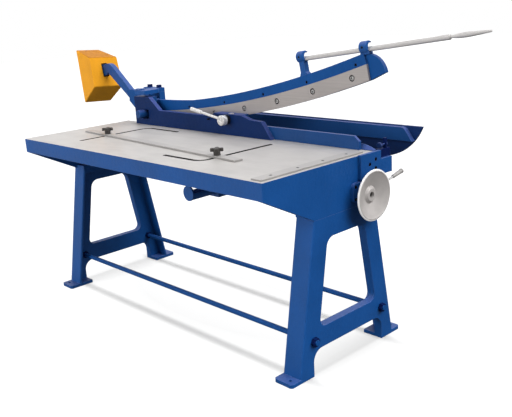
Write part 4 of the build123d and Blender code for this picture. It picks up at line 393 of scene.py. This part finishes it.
def plating_with_shade(tree, shader, place, normal, shade_mask, roughness):
    """Dress a shader as bright plating that is painted black as shade where the mask says."""
    marks = noise(tree, place, *HANDLING_MARKS)
    body = mottled(tree, marks, MARK_BAND, PLATING, PLATING_TONES)
    tint = mix_colour(tree, shade_mask, body, BLACK_STEEL_AND_SHADE)
    dress(tree, shader, tint, remap(tree, marks, *MIDDLE, *roughness), normal, STEEL_METALLIC)


def screw_heads(name):
    """Bright screw heads in a dark ring of painted shadow."""
    material, tree, shader, place = new_material(name)
    normal, ring = rounded(tree, SCREW_RING)
    plating_with_shade(tree, shader, place, normal, ring, SCREW_ROUGH)
    return material


def hub_material(name):
    """Bright hub whose back is painted black as shade."""
    material, tree, shader, place = new_material(name)
    low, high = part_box("clamp_hub")
    normal = rounded(tree, FINE_EDGE)[0]
    flange = low[1] + HUB_BRIGHT * (high[1] - low[1])
    back = remap(tree, axes_of(tree, place)["Y"], flange, flange + FINE_EDGE)
    plating_with_shade(tree, shader, place, normal, back, HUB_ROUGH)
    return material


# Table top: how far the bare steel reaches below the surface and fades, metres, and its smudges
TOP_SKIN = 0.0005
TOP_FADE = 0.001
TABLE_SMUDGES = (18.0, 6.0)
SMUDGE_CELLS = (0.4, 1.0, 1.0)
SMUDGE_SHADE = 0.78
# Slots, metres: the table's plate, the bed's outer skin that holds none, and the start and rim of the
# painted shade in the slots
TABLE_PLATE = 0.016
SKIN = 0.006
SLOT_TOP = 0.0001
SLOT_RIM = 0.004


def bare_top(tree, place, top):
    """Mask of the faces that look up at the height of the table."""
    height = axes_of(tree, place)["Z"]
    high = remap(tree, height, top - TOP_SKIN - TOP_FADE, top - TOP_SKIN)
    return product(tree, high, facing_up(tree, FLAT_LEAN))


def within_border(tree, place, low, high):
    """Mask of what lies inside the outer skin of the bed's ends and front."""
    axes = axes_of(tree, place)
    middle = (low[0] + high[0]) / 2
    aside = maths(tree, "ABSOLUTE", maths(tree, "SUBTRACT", axes["X"], middle), 0.0)
    within = remap(tree, aside, high[0] - middle - SKIN, high[0] - middle - 2 * SKIN)
    behind = remap(tree, axes["Y"], low[1] + SKIN, low[1] + 2 * SKIN)
    return product(tree, within, behind)


def slot_shade(tree, place, low, high):
    """Mask of the slots' walls within the table plate, and of their rims, painted black as shade."""
    height = axes_of(tree, place)["Z"]
    deep = remap(tree, height, high[2] - SLOT_TOP, high[2] - 2 * SLOT_TOP)
    shallow = remap(tree, height, high[2] - TABLE_PLATE, high[2] - TABLE_PLATE + SLOT_RIM)
    wall_and_rim_shade = maths(tree, "MAXIMUM", deep, rounded(tree, SLOT_RIM)[1])
    plate = product(tree, shallow, within_border(tree, place, low, high))
    return product(tree, plate, wall_and_rim_shade)


def table_steel(tree, place):
    """Colour, roughness and normal of the smudged table top."""
    tint, rough, normal = steel_layers(tree, place, MACHINED, ALONG_X, TABLE_ROUGH)
    smudges = remap(tree, noise(tree, place, *TABLE_SMUDGES, SMUDGE_CELLS), *STAIN_BAND, *STAIN_COVER)
    return mix_colour(tree, smudges, tint, shade(MACHINED, SMUDGE_SHADE)), rough, normal


def bed_material(name):
    """Painted bed whose table top is bare machined steel and whose slots are painted black as shade."""
    material, tree, shader, place = new_material(name)
    low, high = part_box("bed_casting")
    paint_tint, gloss, raised = paint_layers(tree, place, BLUE)
    bare_tint, bare_rough, bare_normal = table_steel(tree, place)
    bare = bare_top(tree, place, high[2])
    clean = mix_colour(tree, bare, paint_tint, bare_tint)
    # Slot walls and rims painted black: painted shade
    tint = mix_colour(tree, slot_shade(tree, place, low, high), clean, SLOT_SHADE_BLACK)
    rough = mix_value(tree, bare, gloss, bare_rough)
    normal = mix_normal(tree, bare, raised, bare_normal)
    metallic = mix_value(tree, bare, 0.0, TABLE_METALLIC)
    level = mix_value(tree, bare, PAINT_LEVEL, PLAIN_LEVEL)
    dress(tree, shader, tint, rough, normal, metallic, level)
    return material


# Handwheel: where its polished rim begins and is full, as shares of the radius, and its cast face
RIM_START, RIM_FULL = 0.93, 0.96
CAST_CLOUD = (22.0, 3.0)
CAST_GRAIN = (320.0, 3.0)
CAST_SHADES = (0.92, 1.08)
CAST_GRAIN_HEIGHT = 0.0001
CAST_ROUGH = 0.55
POLISHED_ROUGH = 0.22


def wheel_material(name):
    """Cast alloy wheel with a polished rim, by distance from the shaft."""
    material, tree, shader, place = new_material(name)
    low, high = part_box("handwheel")
    centre = [(near + far) / 2 for near, far in zip(low, high)]
    radius = (high[2] - low[2]) / 2
    normal = rounded(tree, FINE_EDGE)[0]
    moved = node(tree, "ShaderNodeMapping", {"Vector": place, "Location": (0, -centre[1], -centre[2])})
    axes = axes_of(tree, moved.outputs["Vector"])
    flat = node(tree, "ShaderNodeCombineXYZ", {"Y": axes["Y"], "Z": axes["Z"]}).outputs["Vector"]
    rim = remap(tree, length(tree, flat), radius * RIM_START, radius * RIM_FULL)
    grain = noise(tree, place, *CAST_GRAIN)
    cast = mottled(tree, noise(tree, place, *CAST_CLOUD), MIDDLE, ALLOY, CAST_SHADES)
    tint = mix_colour(tree, rim, cast, WHEEL_RIM)
    rough = mix_value(tree, rim, CAST_ROUGH, POLISHED_ROUGH)
    metallic = mix_value(tree, rim, TABLE_METALLIC, RIM_METALLIC)
    dress(tree, shader, tint, rough, bump(tree, grain, CAST_GRAIN_HEIGHT, normal), metallic)
    return material


# Knobs: marks and grain of the moulding
PLASTIC_MARKS = (60.0, 3.0)
PLASTIC_GRAIN = (1400.0, 2.0)
PLASTIC_SHADES = (0.85, 1.2)
PLASTIC_EDGE_HIGHLIGHT = 1.6
PLASTIC_GRAIN_HEIGHT = 0.00006
PLASTIC_ROUGH = (0.42, 0.58)


def moulded(name, colour):
    """Moulded plastic with a fine grain."""
    material, tree, shader, place = new_material(name)
    normal, edge = rounded(tree, FINE_EDGE)
    grain = noise(tree, place, *PLASTIC_GRAIN)
    marks = noise(tree, place, *PLASTIC_MARKS)
    body = mottled(tree, marks, MIDDLE, colour, PLASTIC_SHADES)
    # Edges lightened: painted highlight
    tint = mix_colour(tree, edge, body, shade(colour, PLASTIC_EDGE_HIGHLIGHT))
    rough = remap(tree, marks, *MIDDLE, *PLASTIC_ROUGH)
    dress(tree, shader, tint, rough, bump(tree, grain, PLASTIC_GRAIN_HEIGHT, normal))
    return material


navy = painted("navy_paint", NAVY_AND_SHADE, MATT_LEVEL)
slots = {
    "blue_paint": painted("blue_paint", BLUE),
    "orange_paint": painted("orange_paint", ORANGE, MATT_LEVEL, FINE_EDGE),
    "blade_steel": ground_steel("blade_steel", BLADE, BLADE_ROUGH),
    "ground_steel": ground_steel("ground_steel", GROUND, GROUND_ROUGH),
    "bright_plate": plated("bright_plate", PLATING, BRIGHT_ROUGH, STEEL_METALLIC),
    "cast_alloy": wheel_material("cast_alloy"),
    "dark_steel": plated("dark_steel", BLACK_STEEL_AND_SHADE, DARK_ROUGH),
    "knob_plastic": moulded("knob_plastic", PLASTIC),
    "bronze": plated("bronze", BRONZE, BRONZE_ROUGH),
}
own_materials = {
    "bed_casting": bed_material("bed_paint_and_steel"),
    "hold_down": hold_down_material("hold_down_paint"),
    "blade_beam": painted("beam_paint", BEAM_BLUE, MATT_LEVEL),
    "pivot_pin": painted("pin_paint", BAR_BLUE),
    "tie_rods": painted("rod_paint", ROD_BLUE, MATT_LEVEL),
    "bridge_plug": painted("plug_paint", PLUG_BLUE),
    "blade_screws": screw_heads("screw_steel"),
    "lever_stop_pin": slots["dark_steel"],
    # The guide shoe and its adjusting screw wear the darker paints as painted shade
    "guide_shoe": navy,
    "guide_adjusting_screw": painted("screw_paint", SHADE_BLUE),
    "clamp_hub": hub_material("hub_steel"),
    "gauge_plate": painted("gauge_paint", GAUGE_SHADE_BLUE),
    "gauge_bar": painted("gauge_bar_paint", GAUGE_BAR_BLUE),
    "lock_grip": plated("grip_steel", GRIP_GREY, GRIP_ROUGH, TABLE_METALLIC),
    "tie_rod_nuts": navy,
    "bridge_screws": navy,
    "side_gauge": strip_steel("gauge_steel", ALONG_Y),
    "stop_bar": strip_steel("stop_steel", ALONG_X),
}
for subpart in frame["record"]["subparts"]:
    piece = frame["nodes"][subpart["node"]]
    piece.data.materials.clear()
    piece.data.materials.append(own_materials.get(subpart["node"], slots[subpart["material_slot"]]))

# Lamps on the floor alone: one for the shadows of the tie rods, one for those of the stands
ROD_LAMP_PLACE = Vector((0, 0.079, 1.1))
ROD_LAMP_SIZE = (3.6, 0.28)
ROD_LAMP_POWER = 116
BAR_LAMP_STRENGTH = 5.9
BAR_LAMP_ANGLE = 18

# Floor: white to the camera with soft shadows, darker to the light that bounces from it
FLOOR_SIZE = 20.0
FLOOR_SHADOW_WHITE = 0.15
FLOOR_BOUNCE = 0.02
# Light that comes back from the floor in front, full at a distance in metres
FRONT_SIDE = Vector((-0.15, -0.99, 0))
FRONT_BOUNCE = 0.6
FRONT_REACH = 1.2
# Glow by the distance from the rod lamp, metres, which counts less along the machine
FLOOR_GLOW = 0.075
FLOOR_FAR_GLOW = 0.85
GLOW_NEAR = 0.25
GLOW_FAR = 1.2
GLOW_ALONG = 0.4


def emission(tree, strength):
    """White light that a surface gives off."""
    return node(tree, "ShaderNodeEmission", {"Color": WHITE, "Strength": strength}).outputs[0]


def diffuse(tree, grey):
    """Dull grey surface."""
    return node(tree, "ShaderNodeBsdfDiffuse", {"Color": (grey, grey, grey, 1.0)}).outputs[0]


def both_shaders(tree, first, second):
    """Light of two shaders together."""
    return node(tree, "ShaderNodeAddShader", {0: first, 1: second}).outputs[0]


def floor_glow(tree, place):
    """Glow of the floor, stronger away from the machine where its lamps fade."""
    moved = {"Vector": place, "Location": (0, -ROD_LAMP_PLACE.y, 0), "Scale": (GLOW_ALONG, 1, 1)}
    offset = node(tree, "ShaderNodeMapping", moved).outputs["Vector"]
    strength = remap(tree, length(tree, offset), GLOW_NEAR, GLOW_FAR, FLOOR_GLOW, FLOOR_FAR_GLOW)
    return emission(tree, strength)


def front_light(tree, place):
    """Light that comes back from the floor in front of the machine."""
    return emission(tree, remap(tree, dot(tree, place, FRONT_SIDE), 0.0, FRONT_REACH, 0.0, FRONT_BOUNCE))


def floor_material(name):
    """White floor that keeps the object's soft shadows."""
    material = bpy.data.materials.new(name)
    material.use_nodes = True
    tree = material.node_tree
    tree.nodes.clear()
    place = node(tree, "ShaderNodeTexCoord").outputs["Object"]
    bounce = both_shaders(tree, diffuse(tree, FLOOR_BOUNCE), front_light(tree, place))
    bright = both_shaders(tree, diffuse(tree, FLOOR_SHADOW_WHITE), floor_glow(tree, place))
    seen = node(tree, "ShaderNodeLightPath").outputs["Is Camera Ray"]
    surface = node(tree, "ShaderNodeMixShader", {0: seen, 1: bounce, 2: bright}).outputs[0]
    node(tree, "ShaderNodeOutputMaterial", {"Surface": surface})
    return material


floor_mesh = bpy.data.meshes.new("floor")
corners = [(x * FLOOR_SIZE, y * FLOOR_SIZE, 0) for x, y in ((-1, -1), (1, -1), (1, 1), (-1, 1))]
floor_mesh.from_pydata(corners, [], [(0, 1, 2, 3)])
floor = bpy.data.objects.new("floor", floor_mesh)
scene.collection.objects.link(floor)
floor_mesh.materials.append(floor_material("floor_white"))

# Studio: white wall behind the machine, dim room in front of it, and the turn between them
WALL_SIDE = Vector((-0.73, 0.68, 0))
WALL_LIGHT = 0.85
ROOM_LIGHT = 0.25
WALL_TURN = 0.5
SEEN_LIGHT = 1.0


def studio_light(tree):
    """Strength of the surroundings, from the dim room to the white wall."""
    towards = node(tree, "ShaderNodeTexCoord").outputs["Generated"]
    return remap(tree, dot(tree, towards, WALL_SIDE), -WALL_TURN, WALL_TURN, ROOM_LIGHT, WALL_LIGHT)


world = bpy.data.worlds.new("studio")
scene.world = world
world.use_nodes = True
world_tree = world.node_tree
background = world_tree.nodes["Background"]
camera_ray = node(world_tree, "ShaderNodeLightPath").outputs["Is Camera Ray"]
strength = mix_value(world_tree, camera_ray, studio_light(world_tree), SEEN_LIGHT)
fill(world_tree, background, {"Color": WHITE, "Strength": strength})

# Lamps on the machine: one low from the front, one high from the right
FRONT_FROM = Vector((-0.3, -1.0, 0.25))
FRONT_STRENGTH = 2.3
RIGHT_FROM = Vector((0.7, 0.1, 0.7))
RIGHT_STRENGTH = 3.6
SOFT_ANGLE = 50
LAMP_DISTANCE = 5
STRAIGHT_UP = Vector((0, 0, 1))


def add_lamp(name, kind, energy, place, aim):
    """Lamp at a place that shines at another."""
    data = bpy.data.lights.new(name, kind)
    data.energy = energy
    lamp = bpy.data.objects.new(name, data)
    lamp.location = place
    lamp.rotation_euler = (aim - place).to_track_quat("-Z", "Y").to_euler()
    scene.collection.objects.link(lamp)
    return lamp


def add_sun(name, energy, towards, angle):
    """Sun of an angle in degrees that shines at the origin."""
    lamp = add_lamp(name, "SUN", energy, towards * LAMP_DISTANCE, Vector((0, 0, 0)))
    lamp.data.angle = math.radians(angle)
    return lamp


def gather(name, pieces):
    """Collection of objects for one lamp."""
    collection = bpy.data.collections.new(name)
    for piece in pieces:
        collection.objects.link(piece)
    return collection


machine = gather("machine", frame["nodes"].values())
lit_floor = gather("lit_floor", [floor])
rods = gather("rods", [frame["nodes"][name] for name in ("tie_rods", "tie_rod_nuts")])
stands = gather("stands", [frame["nodes"][name] for name in ("left_stand", "right_stand")])
for name, towards, energy in (
    ("front", FRONT_FROM, FRONT_STRENGTH),
    ("right", RIGHT_FROM, RIGHT_STRENGTH),
):
    sun = add_sun(name, energy, towards, SOFT_ANGLE)
    sun.visible_glossy = False
    sun.light_linking.receiver_collection = machine
rod_lamp = add_lamp("rod_lamp", "AREA", ROD_LAMP_POWER, ROD_LAMP_PLACE, ROD_LAMP_PLACE - STRAIGHT_UP)
rod_lamp.data.shape = "RECTANGLE"
rod_lamp.data.size, rod_lamp.data.size_y = ROD_LAMP_SIZE
rod_lamp.light_linking.receiver_collection = lit_floor
rod_lamp.light_linking.blocker_collection = rods
bar_lamp = add_sun("bar_lamp", BAR_LAMP_STRENGTH, STRAIGHT_UP, BAR_LAMP_ANGLE)
bar_lamp.light_linking.receiver_collection = lit_floor
bar_lamp.light_linking.blocker_collection = stands

# Camera at the photograph's viewing angle
CAMERA_PLACE = Vector((2.499, -2.0265, 1.366))
YAW, PITCH, ROLL = (math.radians(angle) for angle in (46.86, 15.71, -3.40))
FOCAL_PIXELS = 722.734
IMAGE_WIDTH = 512
SENSOR_WIDTH = 36.0

forward = Vector((-math.sin(YAW) * math.cos(PITCH), math.cos(YAW) * math.cos(PITCH), -math.sin(PITCH)))
sideways = Vector((math.cos(YAW), math.sin(YAW), 0))
upward = sideways.cross(forward)
right = math.cos(ROLL) * sideways + math.sin(ROLL) * upward
up = -math.sin(ROLL) * sideways + math.cos(ROLL) * upward
camera_data = bpy.data.cameras.new("camera")
camera_data.sensor_fit = "HORIZONTAL"
camera_data.sensor_width = SENSOR_WIDTH
camera_data.lens = FOCAL_PIXELS / IMAGE_WIDTH * SENSOR_WIDTH
camera = bpy.data.objects.new("camera", camera_data)
scene.collection.objects.link(camera)
turn = Matrix((right, up, -forward)).transposed()
camera.matrix_world = Matrix.Translation(CAMERA_PLACE) @ turn.to_4x4()
scene.camera = camera
